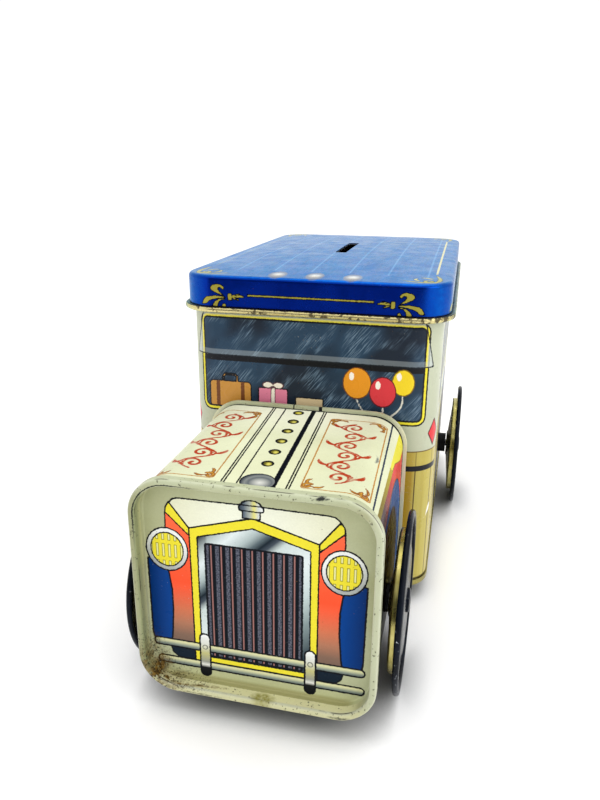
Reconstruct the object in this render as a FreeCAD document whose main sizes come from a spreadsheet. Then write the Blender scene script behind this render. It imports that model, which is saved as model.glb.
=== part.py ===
import FreeCAD
import Part
import os
import re

import Sketcher
from FreeCAD import Placement, Rotation, Vector

# Tin money box in the shape of an old bus. It stands on its wheels at Z 0 and drives towards -Y.

# Driving sizes, in millimetres. The roundness is a share of a curl's height.
SIZES = {
    "sheet_gauge": 0.3,
    "seam_gap": 0.05,
    "rim_stand": 1.2,
    "rim_face": 1.9,
    "bonnet_width": 66.0,
    "bonnet_height": 65.0,
    "bonnet_radius": 11.0,
    "bonnet_bottom": 6.5,
    "bonnet_length": 63.5,
    "bonnet_standoff": 3.0,
    "plateau_inset": 7.0,
    "bonnet_rim": 2.8,
    "grille_recess": 5.0,
    "cab_width": 83.0,
    "cab_depth": 139.0,
    "cab_radius": 9.5,
    "cab_bottom": 6.0,
    "cab_rim": 2.2,
    "cab_rim_stand": 0.5,
    "floor_recess": 3.0,
    "lock_seam_width": 6.0,
    "wall_curl_reach": 1.2,
    "wall_curl_height": 2.0,
    "lid_clearance": 1.6,
    "lid_seat": 0.6,
    "lid_top": 112.0,
    "lid_skirt": 11.8,
    "lid_bend": 1.3,
    "lid_crown": 2.2,
    "curl_reach": 1.5,
    "curl_height": 1.9,
    "curl_roundness": 0.45,
    "slot_length": 34.0,
    "slot_width": 4.2,
    "rivet_shank": 3.0,
    "rivet_head": 5.6,
    "rivet_head_height": 0.8,
    "rivet_spread_x": 36.0,
    "rivet_spread_z": 38.0,
    "axle_diameter": 3.0,
    "axle_fit": 0.05,
    "front_axle_setback": 30.0,
    "rear_axle_setback": 88.0,
    "bush_barrel": 5.6,
    "bush_flange": 7.4,
    "bush_flange_thickness": 0.8,
    "bush_collar": 8.4,
    "front_collar_length": 0.7,
    "rear_collar_length": 3.0,
    "run_gap": 0.3,
    "wheel_diameter": 52.4,
    "tyre_bead": 1.8,
    "disc_gauge": 0.4,
    "disc_press": 0.6,
    "disc_step_outer": 33.0,
    "disc_step_inner": 30.0,
    "drum_diameter": 41.4,
    "drum_width": 2.4,
    "dish_depth": 1.5,
    "dish_diameter": 34.0,
    "drum_hub": 11.0,
    "cap_diameter": 7.0,
    "cap_top": 4.4,
    "cap_side": 0.5,
    "cap_height": 1.0,
    "cap_bore": 0.6,
    "cap_end_gap": 0.1,
}

# Sizes worked out from the driving ones. An inset is measured inwards from the box's outline.
WORKED = {
    "bonnet_wall_inset": "rim_stand",
    "bonnet_sleeve_inset": "rim_stand - seam_gap",
    "bonnet_bore_inset": "rim_stand + sheet_gauge",
    "bonnet_plug_inset": "rim_stand + sheet_gauge + seam_gap",
    "bonnet_recess_inset": "rim_face",
    "plateau_bore_inset": "plateau_inset + sheet_gauge",
    "bonnet_middle": "bonnet_bottom + bonnet_height / 2",
    "bonnet_nose": "bonnet_standoff + bonnet_length",
    "cab_rim_inset": "0 - cab_rim_stand",
    "cab_sleeve_inset": "0 - seam_gap",
    "cab_bore_inset": "sheet_gauge",
    "cab_plug_inset": "sheet_gauge + seam_gap",
    "cab_recess_inset": "rim_face - rim_stand",
    "cab_foot": "cab_bottom + sheet_gauge + seam_gap",
    "cab_top": "lid_top - sheet_gauge - lid_seat",
    "wall_curl_inset": "0 - wall_curl_reach",
    "skirt_inner_inset": "0 - lid_clearance",
    "skirt_middle_inset": "0 - lid_clearance - sheet_gauge / 2",
    "skirt_outer_inset": "0 - lid_clearance - sheet_gauge",
    "curl_inset": "0 - lid_clearance - sheet_gauge - curl_reach",
    "whole_length": "bonnet_nose + cab_depth + lid_clearance + sheet_gauge + curl_reach",
    "cab_front": "bonnet_nose - whole_length / 2",
    "cab_middle": "cab_front + cab_depth / 2",
    "axle_height": "wheel_diameter / 2",
    "front_axle_place": "front_axle_setback - whole_length / 2",
    "rear_axle_place": "cab_front + rear_axle_setback",
    "bore_radius": "axle_diameter / 2 + axle_fit",
    "wheel_depth": "drum_width + dish_depth",
    "front_wall_side": "bonnet_width / 2 - rim_stand",
    "rear_wall_side": "cab_width / 2",
    "front_hub_side": "front_wall_side + seam_gap + front_collar_length + run_gap",
    "rear_hub_side": "rear_wall_side + seam_gap + rear_collar_length + run_gap",
    "bush_hole": "bush_barrel / 2 + seam_gap",
    "bush_seat": "sheet_gauge + seam_gap + bush_flange_thickness",
    "rivet_hole": "rivet_shank / 2 + seam_gap",
}

BONNET = ("bonnet_width", "bonnet_height", "bonnet_radius")
CAB = ("cab_width", "cab_depth", "cab_radius")
AXLES = ("front", "rear")
SIDES = {"left": 180, "right": 0}

doc = FreeCAD.newDocument("TinMoneyBox")
sizes_sheet = doc.addObject("Spreadsheet::Sheet", "Sizes")
worked_sheet = doc.addObject("Spreadsheet::Sheet", "Worked")


def linked(formula):
    """Puts the sheet's name before each size that a formula uses."""
    def full_name(match):
        word = match.group(0)
        if word in SIZES:
            return "Sizes." + word
        return "Worked." + word if word in WORKED else word
    return re.sub(r"[a-z][a-z_]*", full_name, str(formula))


def fill_sheets():
    """Writes every size into its sheet under its own alias."""
    for row, (alias, number) in enumerate(SIZES.items(), 1):
        sizes_sheet.set(f"A{row}", alias)
        sizes_sheet.set(f"B{row}", str(number))
        sizes_sheet.setAlias(f"B{row}", alias)
    doc.recompute()
    for row, alias in enumerate(WORKED, 1):
        worked_sheet.set(f"A{row}", alias)
        worked_sheet.setAlias(f"B{row}", alias)
    for row, formula in enumerate(WORKED.values(), 1):
        worked_sheet.set(f"B{row}", "=" + linked(formula))
    doc.recompute()


def size(alias):
    """The number that a sheet holds now."""
    sheet = sizes_sheet if alias in SIZES else worked_sheet
    return float(sheet.get(alias))


def bind(thing, target, formula):
    """Ties one property to a formula of sizes."""
    thing.setExpression(target, linked(formula))


def new_body(name, x="", y="", z="", turn=0, about=Vector(0, 0, 1)):
    """A body that stands where the three formulas say, turned by some degrees about an axis."""
    body = doc.addObject("PartDesign::Body", name)
    body.Label = name
    body.Placement = Placement(Vector(), Rotation(about, turn))
    for axis, formula in (("x", x), ("y", y), ("z", z)):
        if formula:
            bind(body, "Placement.Base." + axis, formula)
    return body


def attach(feature, body, role, offset):
    """Lays a sketch or primitive on one of its body's own planes, raised by an offset."""
    plane = next(item for item in body.Origin.OriginFeatures if item.Role == role)
    feature.AttachmentSupport = [(plane, "")]
    feature.MapMode = "FlatFace"
    if offset:
        bind(feature, "AttachmentOffset.Base.z", offset)


def new_sketch(body, role, offset=""):
    """An empty sketch on one of the body's planes."""
    sketch = body.newObject("Sketcher::SketchObject", body.Name + "_sketch")
    attach(sketch, body, role, offset)
    return sketch


def dimension(sketch, kind, places, start, formula):
    """A sketch dimension whose value is a formula of sizes."""
    index = sketch.addConstraint(Sketcher.Constraint(kind, *places, start))
    bind(sketch, f"Constraints[{index}]", formula)


def draw_box(sketch, box, inset=""):
    """A rounded rectangle about the sketch's origin, a box's outline or one drawn in by an inset."""
    shrink = size(inset) if inset else 0
    less = f" - {inset}" if inset else ""
    half_x = size(box[0]) / 2 - shrink
    half_y = size(box[1]) / 2 - shrink
    radius = size(box[2]) - shrink
    flat_x = half_x - radius
    flat_y = half_y - radius
    corners = ((flat_x, -flat_y), (flat_x, flat_y), (-flat_x, flat_y), (-flat_x, -flat_y))
    ends = (
        ((-flat_x, -half_y), (flat_x, -half_y)),
        ((half_x, -flat_y), (half_x, flat_y)),
        ((flat_x, half_y), (-flat_x, half_y)),
        ((-half_x, flat_y), (-half_x, -flat_y)),
    )
    quarter = FreeCAD.Units.parseQuantity("90 deg").getValueAs("rad").Value
    lines = []
    arcs = []
    for count, (begin, end) in enumerate(ends):
        lines.append(sketch.addGeometry(Part.LineSegment(Vector(*begin, 0), Vector(*end, 0))))
        circle = Part.Circle(Vector(*corners[count], 0), Vector(0, 0, 1), radius)
        arcs.append(sketch.addGeometry(Part.ArcOfCircle(circle, quarter * (count - 1), quarter * count)))
    for count in range(4):
        sketch.addConstraint(Sketcher.Constraint("Tangent", lines[count], 2, arcs[count], 1))
        sketch.addConstraint(Sketcher.Constraint("Tangent", arcs[count], 2, lines[(count + 1) % 4], 1))
        sketch.addConstraint(Sketcher.Constraint("Vertical" if count % 2 else "Horizontal", lines[count]))
    for arc in arcs[1:]:
        sketch.addConstraint(Sketcher.Constraint("Equal", arcs[0], arc))
    sketch.addConstraint(Sketcher.Constraint("Symmetric", arcs[1], 3, arcs[3], 3, -1, 1))
    dimension(sketch, "Radius", (arcs[0],), radius, box[2] + less)
    dimension(sketch, "DistanceX", (lines[3], 1, lines[1], 1), 2 * half_x, box[0] + less + less)
    dimension(sketch, "DistanceY", (lines[0], 1, lines[2], 1), 2 * half_y, box[1] + less + less)


def draw_hole(sketch, x, y, radius):
    """A circle at a place given by two formulas."""
    start = Vector(size(radius), size(radius), 0)
    circle = sketch.addGeometry(Part.Circle(start, Vector(0, 0, 1), size(radius)))
    dimension(sketch, "Radius", (circle,), size(radius), radius)
    dimension(sketch, "DistanceX", (-1, 1, circle, 3), start.x, x)
    dimension(sketch, "DistanceY", (-1, 1, circle, 3), start.y, y)


def draw_profile(sketch, points):
    """A closed outline of straight lines, each corner given as (along the axis, radius).

    The corners start out evenly on a small circle, and the dimensions then move each to its place.
    """
    turn = FreeCAD.Units.parseQuantity("360 deg").getValueAs("rad").Value / len(points)
    wheel = Part.Circle(Vector(3, 3, 0), Vector(0, 0, 1), 2)
    places = [wheel.value(turn * count) for count in range(len(points))]
    lines = []
    for count, place in enumerate(places):
        lines.append(sketch.addGeometry(Part.LineSegment(place, places[(count + 1) % len(places)])))
    for count, (along, radius) in enumerate(points):
        follower = lines[(count + 1) % len(lines)]
        sketch.addConstraint(Sketcher.Constraint("Coincident", lines[count], 2, follower, 1))
        dimension(sketch, "DistanceX", (-1, 1, lines[count], 1), places[count].x, along)
        dimension(sketch, "DistanceY", (-1, 1, lines[count], 1), places[count].y, radius)


def add(body, sketch, length, cut=False, other_way=False):
    """Pads a sketch along its normal, or cuts it out against its normal."""
    feature = body.newObject("PartDesign::Pocket" if cut else "PartDesign::Pad", body.Name + "_step")
    feature.Profile = sketch
    feature.Reversed = other_way
    bind(feature, "Length", length)
    return feature


def bore_across(body, x, y, radius):
    """Drills one hole along X through both side walls of a box."""
    sketch = new_sketch(body, "YZ_Plane")
    draw_hole(sketch, x, y, radius)
    hole = body.newObject("PartDesign::Pocket", body.Name + "_bore")
    hole.Profile = sketch
    hole.Type = "ThroughAll"
    hole.SideType = "Symmetric"


def turned(name, points, x, y, z, turn=0):
    """A piece turned about its own X axis from an outline of (along, radius) corners."""
    body = new_body(name, x, y, z, turn)
    sketch = new_sketch(body, "XY_Plane")
    draw_profile(sketch, points)
    spin = body.newObject("PartDesign::Revolution", name + "_turning")
    spin.Profile = sketch
    spin.ReferenceAxis = (sketch, ["H_Axis"])
    return body


def round_rim(body, radius, normal):
    """Rounds the outer edges of the flat faces that look along a direction."""
    doc.recompute()
    shape = body.Tip.Shape
    rim = []
    for face in shape.Faces:
        if isinstance(face.Surface, Part.Plane) and round(face.normalAt(0, 0).dot(normal)):
            rim.extend(face.OuterWire.Edges)
    names = []
    for number, edge in enumerate(shape.Edges, 1):
        if any(edge.isSame(other) for other in rim):
            names.append(f"Edge{number}")
    base = body.Tip
    fillet = body.newObject("PartDesign::Fillet", body.Name + "_rounding")
    fillet.Base = (base, names)
    bind(fillet, "Radius", radius)


def rivet_places():
    """The four rivets' places as pairs of formulas, across and up from the bonnet's middle."""
    for across in ("rivet_spread_x / 2", "0 - rivet_spread_x / 2"):
        for up in ("rivet_spread_z / 2", "0 - rivet_spread_z / 2"):
            yield across, up


def make_cab_wall():
    """The cab's wrap: a tube with a curled top edge, axle holes, rivet holes and a lock seam at the back."""
    body = new_body("cab_wall", y="cab_middle")
    edge = new_sketch(body, "XY_Plane", "cab_top - wall_curl_height")
    draw_box(edge, CAB, "wall_curl_inset")
    draw_box(edge, CAB, "cab_bore_inset")
    add(body, edge, "wall_curl_height")
    round_rim(body, "wall_curl_height * curl_roundness", Vector(0, 0, 1))
    outline = new_sketch(body, "XY_Plane", "cab_foot")
    draw_box(outline, CAB)
    draw_box(outline, CAB, "cab_bore_inset")
    add(body, outline, "cab_top - cab_foot")
    seam = new_sketch(body, "XY_Plane", "cab_bottom + floor_recess + 2 * sheet_gauge")
    back = "cab_depth / 2 - sheet_gauge"
    half = "lock_seam_width / 2"
    draw_profile(seam, (
        (f"0 - {half}", back),
        (half, back),
        (half, f"{back} - sheet_gauge"),
        (f"0 - {half}", f"{back} - sheet_gauge"),
    ))
    add(body, seam, "cab_top - cab_bottom - floor_recess - 2 * sheet_gauge")
    bore_across(body, "rear_axle_setback - cab_depth / 2", "axle_height", "bush_hole")
    holes = new_sketch(body, "XZ_Plane", "cab_depth / 2")
    for across, up in rivet_places():
        draw_hole(holes, across, f"bonnet_middle + {up}", "rivet_hole")
    add(body, holes, "2 * sheet_gauge", cut=True)
    return body


def make_cab_floor():
    """The cab's bottom panel, sunk above a rim that grips the foot of the wall."""
    body = new_body("cab_floor", y="cab_middle")
    plug = new_sketch(body, "XY_Plane", "cab_bottom")
    draw_box(plug, CAB, "cab_plug_inset")
    add(body, plug, "floor_recess + sheet_gauge")
    rim = new_sketch(body, "XY_Plane", "cab_bottom")
    draw_box(rim, CAB, "cab_rim_inset")
    add(body, rim, "cab_rim")
    recess = new_sketch(body, "XY_Plane", "cab_bottom")
    draw_box(recess, CAB, "cab_recess_inset")
    add(body, recess, "floor_recess", cut=True, other_way=True)
    groove = new_sketch(body, "XY_Plane", "cab_bottom + cab_rim")
    draw_box(groove, CAB, "cab_sleeve_inset")
    draw_box(groove, CAB, "cab_plug_inset")
    add(body, groove, "cab_rim - sheet_gauge", cut=True)
    return body


def make_bonnet_wall():
    """The bonnet's wrap: a tube along Y with rounded corners and axle holes."""
    body = new_body("bonnet_wall", y="cab_front", z="bonnet_middle")
    outline = new_sketch(body, "XZ_Plane", "bonnet_standoff + sheet_gauge + seam_gap")
    draw_box(outline, BONNET, "bonnet_wall_inset")
    draw_box(outline, BONNET, "bonnet_bore_inset")
    add(body, outline, "bonnet_length - 2 * sheet_gauge - 2 * seam_gap")
    bore_across(body, "front_axle_setback - bonnet_nose", "axle_height - bonnet_middle", "bush_hole")
    return body


def make_grille_panel():
    """The bonnet's front end, sunk behind a rolled rim that grips the wall."""
    body = new_body("grille_panel", y="cab_front", z="bonnet_middle")
    plug = new_sketch(body, "XZ_Plane", "bonnet_nose - grille_recess - sheet_gauge")
    draw_box(plug, BONNET, "bonnet_plug_inset")
    add(body, plug, "grille_recess + sheet_gauge")
    rim = new_sketch(body, "XZ_Plane", "bonnet_nose - bonnet_rim")
    draw_box(rim, BONNET)
    add(body, rim, "bonnet_rim")
    recess = new_sketch(body, "XZ_Plane", "bonnet_nose")
    draw_box(recess, BONNET, "bonnet_recess_inset")
    add(body, recess, "grille_recess", cut=True)
    groove = new_sketch(body, "XZ_Plane", "bonnet_nose - bonnet_rim")
    draw_box(groove, BONNET, "bonnet_sleeve_inset")
    draw_box(groove, BONNET, "bonnet_plug_inset")
    add(body, groove, "bonnet_rim - sheet_gauge", cut=True, other_way=True)
    return body


def make_bonnet_back_panel():
    """The bonnet's rear end: a cap over the wall's end with a raised plateau that meets the cab."""
    body = new_body("bonnet_back_panel", y="cab_front", z="bonnet_middle")
    plateau = new_sketch(body, "XZ_Plane")
    draw_box(plateau, BONNET, "plateau_inset")
    add(body, plateau, "bonnet_standoff")
    rim = new_sketch(body, "XZ_Plane", "bonnet_standoff")
    draw_box(rim, BONNET)
    add(body, rim, "bonnet_rim")
    hollow = new_sketch(body, "XZ_Plane", "bonnet_standoff + bonnet_rim")
    draw_box(hollow, BONNET, "bonnet_sleeve_inset")
    add(body, hollow, "bonnet_rim - sheet_gauge", cut=True)
    plateau_hollow = new_sketch(body, "XZ_Plane", "bonnet_standoff + sheet_gauge")
    draw_box(plateau_hollow, BONNET, "plateau_bore_inset")
    add(body, plateau_hollow, "bonnet_standoff", cut=True)
    holes = new_sketch(body, "XZ_Plane", "sheet_gauge")
    for across, up in rivet_places():
        draw_hole(holes, across, up, "rivet_hole")
    add(body, holes, "sheet_gauge", cut=True)
    return body


def make_bonnet_rivets():
    """Four rivets through the bonnet's rear end and the cab's front wall, a head on each side."""
    head = "rivet_head_height"
    stack = "2 * sheet_gauge"
    outline = (
        ("0", "0"),
        (f"2 * {head} + {stack}", "0"),
        (f"2 * {head} + {stack}", "rivet_head / 2"),
        (f"{head} + {stack}", "rivet_head / 2"),
        (f"{head} + {stack}", "rivet_shank / 2"),
        (head, "rivet_shank / 2"),
        (head, "rivet_head / 2"),
        ("0", "rivet_head / 2"),
    )
    rivets = []
    for number, (across, up) in enumerate(rivet_places(), 1):
        place = f"cab_front - sheet_gauge - {head}"
        rivets.append(turned(f"rivet_{number}", outline, across, place, f"bonnet_middle + {up}", 90))
    group = doc.addObject("Part::Compound", "bonnet_rivets")
    group.Label = "bonnet_rivets"
    group.Links = rivets
    return group


def pressed_blank(name, inset, drop, bend):
    """A block under the lid's crowned top, its upper edge rounded, ready to be hollowed.

    The crown is one second-degree surface: its height falls with the square of the distance from the
    middle, both across and along, and is lost at the skirt.
    """
    half_x = size("cab_width") / 2 - size(inset)
    half_y = size("cab_depth") / 2 - size(inset)
    radius = size("cab_radius") - size(inset)
    top = size("lid_top") - drop
    foot = size("lid_top") - size("lid_skirt")
    flat = Part.makePlane(2 * half_x, 2 * half_y, Vector(-half_x, -half_y, foot))
    block = flat.extrude(Vector(0, 0, top + size("lid_crown") * 2 - foot))
    upright = [edge for edge in block.Edges if edge.BoundBox.ZLength > edge.Length / 2]
    block = block.makeFillet(radius, upright)
    reach_x = half_x + size("lid_clearance")
    reach_y = half_y + size("lid_clearance")
    edge_x = 1 - (reach_x / half_x) ** 2
    edge_y = 1 - (reach_y / half_y) ** 2
    crown = Part.BezierSurface()
    crown.increase(2, 2)
    for column, (x, rise_x) in enumerate(((-1, edge_x), (0, 2 - edge_x), (1, edge_x)), 1):
        for row, (y, rise_y) in enumerate(((-1, edge_y), (0, 2 - edge_y), (1, edge_y)), 1):
            height = top + size("lid_crown") * rise_x * rise_y
            crown.setPole(column, row, Vector(x * reach_x, y * reach_y, height))
    under = crown.toShape().extrude(Vector(0, 0, -size("lid_top")))
    blank = block.common(under)
    upper = [edge for edge in blank.Edges if edge.BoundBox.ZMin > top - bend]
    feature = doc.addObject("Part::Feature", name)
    feature.Shape = blank.makeFillet(bend, upper)
    feature.Placement = Placement(Vector(0, size("cab_middle"), 0), Rotation())
    return feature


def boolean(kind, name, base, tool):
    """A cut or a fuse of two objects."""
    result = doc.addObject("Part::" + kind, name)
    result.Base = base
    result.Tool = tool
    return result


def make_roof_lid():
    """The pressed lid: a crowned top, a skirt, a curl round its lower edge and the coin slot."""
    bend = size("lid_bend")
    gauge = size("sheet_gauge")
    outer = pressed_blank("lid_outside", "skirt_outer_inset", 0, bend)
    inner = pressed_blank("lid_inside", "skirt_inner_inset", gauge, bend - gauge)
    shell = boolean("Cut", "lid_shell", outer, inner)
    curl = new_body("lid_curl", y="cab_middle")
    ring = new_sketch(curl, "XY_Plane", "lid_top - lid_skirt")
    draw_box(ring, CAB, "curl_inset")
    draw_box(ring, CAB, "skirt_middle_inset")
    add(curl, ring, "curl_height")
    round_rim(curl, "curl_height * curl_roundness", Vector(0, 0, 1))
    whole = boolean("Fuse", "lid_with_curl", shell, curl)
    punch = doc.addObject("Part::Box", "slot_punch")
    bind(punch, "Length", "slot_width")
    bind(punch, "Width", "slot_length")
    bind(punch, "Height", "lid_skirt")
    bind(punch, "Placement.Base.x", "0 - slot_width / 2")
    bind(punch, "Placement.Base.y", "cab_middle - slot_length / 2")
    bind(punch, "Placement.Base.z", "lid_top - lid_bend")
    lid = boolean("Cut", "roof_lid", whole, punch)
    lid.Label = "roof_lid"
    return lid


def make_bush(axle, side):
    """A flanged bush in the wall: it carries the axle, and its collar keeps the wheel off the wall."""
    groove = "bush_flange_thickness + sheet_gauge + 2 * seam_gap"
    end = f"{groove} + {axle}_collar_length"
    outline = (
        ("0", "bore_radius"),
        ("0", "bush_flange / 2"),
        ("bush_flange_thickness", "bush_flange / 2"),
        ("bush_flange_thickness", "bush_barrel / 2"),
        (groove, "bush_barrel / 2"),
        (groove, "bush_collar / 2"),
        (end, "bush_collar / 2"),
        (end, "bore_radius"),
    )
    return turned(
        f"{axle}_{side}_bush", outline, side_place(side, f"{axle}_wall_side - bush_seat"),
        f"{axle}_axle_place", "axle_height", SIDES[side],
    )


def side_place(side, distance):
    """A formula for a distance from the middle, to the right or to the left."""
    return distance if side == "right" else f"0 - ({distance})"


def make_hub_drum(axle, side):
    """The wheel's inner pressing: a shallow drum whose inner face is dished towards the body."""
    rim_end = "dish_depth + drum_width"
    outline = (
        ("0", "bore_radius"),
        ("0", "drum_hub / 2"),
        ("dish_depth", "dish_diameter / 2"),
        ("dish_depth", "drum_diameter / 2"),
        (rim_end, "drum_diameter / 2"),
        (rim_end, "drum_diameter / 2 - disc_gauge"),
        ("dish_depth + disc_gauge", "drum_diameter / 2 - disc_gauge"),
        ("dish_depth + disc_gauge", "dish_diameter / 2"),
        ("disc_gauge", "drum_hub / 2"),
        ("disc_gauge", "bore_radius"),
    )
    return turned(
        f"{axle}_{side}_hub_drum", outline, side_place(side, f"{axle}_hub_side"),
        f"{axle}_axle_place", "axle_height", SIDES[side],
    )


def make_tyre_disc(axle, side):
    """The wheel's outer pressing: a thin disc with a raised middle and a rolled edge."""
    bead_circle = "wheel_diameter / 2 - tyre_bead / 2"
    raised = "disc_press + disc_gauge"
    outline = (
        ("0", bead_circle),
        ("0", "disc_step_outer / 2"),
        ("disc_press", "disc_step_inner / 2"),
        ("disc_press", "bore_radius"),
        (raised, "bore_radius"),
        (raised, "disc_step_inner / 2"),
        ("disc_gauge", "disc_step_outer / 2"),
        ("disc_gauge", bead_circle),
    )
    body = turned(
        f"{axle}_{side}_tyre_disc", outline, side_place(side, f"{axle}_hub_side + wheel_depth"),
        f"{axle}_axle_place", "axle_height", SIDES[side],
    )
    bead = body.newObject("PartDesign::AdditiveTorus", body.Name + "_bead")
    attach(bead, body, "YZ_Plane", "disc_gauge")
    bind(bead, "Radius1", bead_circle)
    bind(bead, "Radius2", "tyre_bead / 2")
    return body


def make_axle_cap(axle, side):
    """The push-on cap that holds the wheel on the axle's end."""
    outline = (
        ("0", "bore_radius"),
        ("0", "cap_diameter / 2"),
        ("cap_side", "cap_diameter / 2"),
        ("cap_height", "cap_top / 2"),
        ("cap_height", "0"),
        ("cap_bore", "0"),
        ("cap_bore", "bore_radius"),
    )
    seat = f"{axle}_hub_side + wheel_depth + disc_press + disc_gauge"
    return turned(
        f"{axle}_{side}_axle_cap", outline, side_place(side, seat),
        f"{axle}_axle_place", "axle_height", SIDES[side],
    )


def make_axle(axle):
    """A plain rod from one cap to the other."""
    half = f"({axle}_hub_side + wheel_depth + disc_press + disc_gauge + cap_bore - cap_end_gap)"
    outline = (
        ("0", "0"),
        (f"2 * {half}", "0"),
        (f"2 * {half}", "axle_diameter / 2"),
        ("0", "axle_diameter / 2"),
    )
    return turned(f"{axle}_axle", outline, f"0 - {half}", f"{axle}_axle_place", "axle_height")


def check(pieces):
    """Stops if any object failed or any piece isn't a sound solid."""
    for thing in doc.Objects:
        if "Invalid" in thing.State or "Error" in thing.State:
            raise RuntimeError(f"{thing.Label} failed: {thing.State}")
    for piece in pieces:
        if piece.Shape.isNull() or not piece.Shape.isValid() or not piece.Shape.Solids:
            raise RuntimeError(f"{piece.Label} is not a sound solid")


def main():
    """Builds every piece and writes one file for each."""
    fill_sheets()
    pieces = [
        make_cab_wall(),
        make_cab_floor(),
        make_bonnet_wall(),
        make_grille_panel(),
        make_bonnet_back_panel(),
        make_bonnet_rivets(),
        make_roof_lid(),
    ]
    for axle in AXLES:
        pieces.append(make_axle(axle))
        for side in SIDES:
            for make in (make_bush, make_hub_drum, make_tyre_disc, make_axle_cap):
                pieces.append(make(axle, side))
    doc.recompute()
    check(pieces)
    os.makedirs("parts", exist_ok=True)
    for piece in pieces:
        piece.Shape.exportStep(f"parts/{piece.Label}.step")
        print(f"{piece.Label}: {len(piece.Shape.Solids)} solid, {piece.Shape.Volume:.1f} mm3")


main()
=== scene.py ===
import bpy
import numpy as np
from mathutils import Matrix, Vector


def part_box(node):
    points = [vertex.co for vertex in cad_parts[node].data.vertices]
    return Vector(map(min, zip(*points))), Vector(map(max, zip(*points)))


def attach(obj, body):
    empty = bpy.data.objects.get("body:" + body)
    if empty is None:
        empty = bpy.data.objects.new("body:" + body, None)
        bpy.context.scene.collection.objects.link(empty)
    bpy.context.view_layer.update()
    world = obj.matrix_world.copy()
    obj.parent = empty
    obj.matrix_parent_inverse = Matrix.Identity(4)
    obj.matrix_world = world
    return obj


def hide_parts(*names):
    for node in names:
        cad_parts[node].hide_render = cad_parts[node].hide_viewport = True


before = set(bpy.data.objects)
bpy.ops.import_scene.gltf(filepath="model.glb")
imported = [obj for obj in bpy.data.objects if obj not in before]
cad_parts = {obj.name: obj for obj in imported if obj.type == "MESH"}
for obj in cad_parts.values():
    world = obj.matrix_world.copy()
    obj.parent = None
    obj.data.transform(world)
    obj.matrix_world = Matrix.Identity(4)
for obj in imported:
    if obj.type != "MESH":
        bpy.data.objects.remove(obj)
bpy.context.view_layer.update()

bl_info = {
    "name": "Tin Bus Money Box",
    "version": (1, 0, 0),
    "blender": (4, 5, 0),
    "location": "View3D > Sidebar > Tin Bus",
    "description": "Presses and prints the tinplate of a bus-shaped money box over its CAD frame",
    "category": "Object",
}

# Sizes below are in millimetres unless a name says otherwise; meshes are in metres.
MM = 0.001

# The printing on the nose sits a little left of the middle, and the bonnet's runs slightly askew.
PRINT_SHIFT = -0.9
ASKEW_NEAR, ASKEW_FAR = (-101.0, -0.3), (-44.0, -1.9)

# Where the axles are, the radius of the mudguards printed round them, and the plane of the sunk nose panel.
FRONT_AXLE_Y, REAR_AXLE_Y, AXLE_HEIGHT, GUARD_RADIUS = -74.45, 50.05, 26.2, 34.5
NOSE_PANEL_Y = -99.45

# Play between a folded rim and the wall that it grips.
SLACK = 0.05

# A plate's value where it prints nothing.
FAR_OFF = 5.0

SIDES = {"left": -1, "right": 1}


def linear(red, green, blue):
    """Print-shop values from 0 to 255 as linear light."""
    value = np.array((red, green, blue)) / 255.0
    return tuple(np.where(value <= 0.04045, value / 12.92, ((value + 0.055) / 1.055) ** 2.4).tolist())


def length(name, description, millimetres):
    """A length kept in metres, given here in millimetres."""
    return bpy.props.FloatProperty(
        name=name, description=description, default=millimetres * MM, min=0.0, unit="LENGTH"
    )


def ink(name, description, *shade):
    """A colour of the print."""
    return bpy.props.FloatVectorProperty(
        name=name, description=description, default=linear(*shade), min=0.0, max=1.0, size=3, subtype="COLOR"
    )


def amount(name, description, default):
    """A share from none to full."""
    return bpy.props.FloatProperty(
        name=name, description=description, default=default, min=0.0, max=1.0, subtype="FACTOR"
    )


class TinBusSizes(bpy.types.PropertyGroup):
    """Sizes of the folded and rolled edges."""

    sheet_gauge: length("Sheet gauge", "Thickness of the tinplate", 0.3)
    cab_radius: length("Cab corner", "Radius of the cab's upright corners", 9.5)
    cab_curl_reach: length("Cab curl reach", "How far the wall's top edge is rolled out", 1.2)
    cab_curl_height: length("Cab curl height", "Height of the wall's rolled top edge", 2.0)
    floor_rim_stand: length("Floor rim stand", "How far the floor's rim stands outside the wall", 0.5)
    floor_rim_face: length("Floor rim face", "How far the floor's rim reaches inside the wall", 0.7)
    bonnet_radius: length("Bonnet corner", "Radius of the bonnet's outer rims", 11.0)
    rim_stand: length("Rim stand", "How far the bonnet's rims stand outside its wall", 1.2)
    rim_face: length("Rim face", "Width of the front rim, seen from the front", 1.9)
    rim_length: length("Rim length", "Length of the bonnet's rims along the wall", 2.8)
    grille_recess: length("Grille recess", "Depth of the grille behind the front rim", 5.0)
    back_rim_length: length("Back rim length", "Length of the rear rim along the wall", 1.7)
    plateau_inset: length("Plateau inset", "Inset of the raised middle of the bonnet's back", 7.0)
    plateau_rise: length("Plateau rise", "Height of the raised middle of the bonnet's back", 3.0)
    lid_bend: length("Lid bend", "Radius of the bend between the lid's top and skirt", 1.3)
    lid_crown: length("Lid crown", "Rise of the lid's middle above its edge", 2.2)
    lid_curl_reach: length("Lid curl reach", "How far the skirt's edge is rolled out", 1.5)
    lid_curl_height: length("Lid curl height", "Height of the skirt's rolled edge", 1.9)
    slot_length: length("Slot length", "Length of the coin slot", 34.0)
    slot_width: length("Slot width", "Width of the coin slot", 4.2)
    tyre_bead: length("Tyre bead", "Thickness of the tyre's rolled edge", 1.8)
    tyre_step: length("Tyre step", "Diameter of the tyre disc's raised middle", 33.0)
    axle_bore: length("Axle bore", "Diameter of the hole in a wheel", 3.1)


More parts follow.
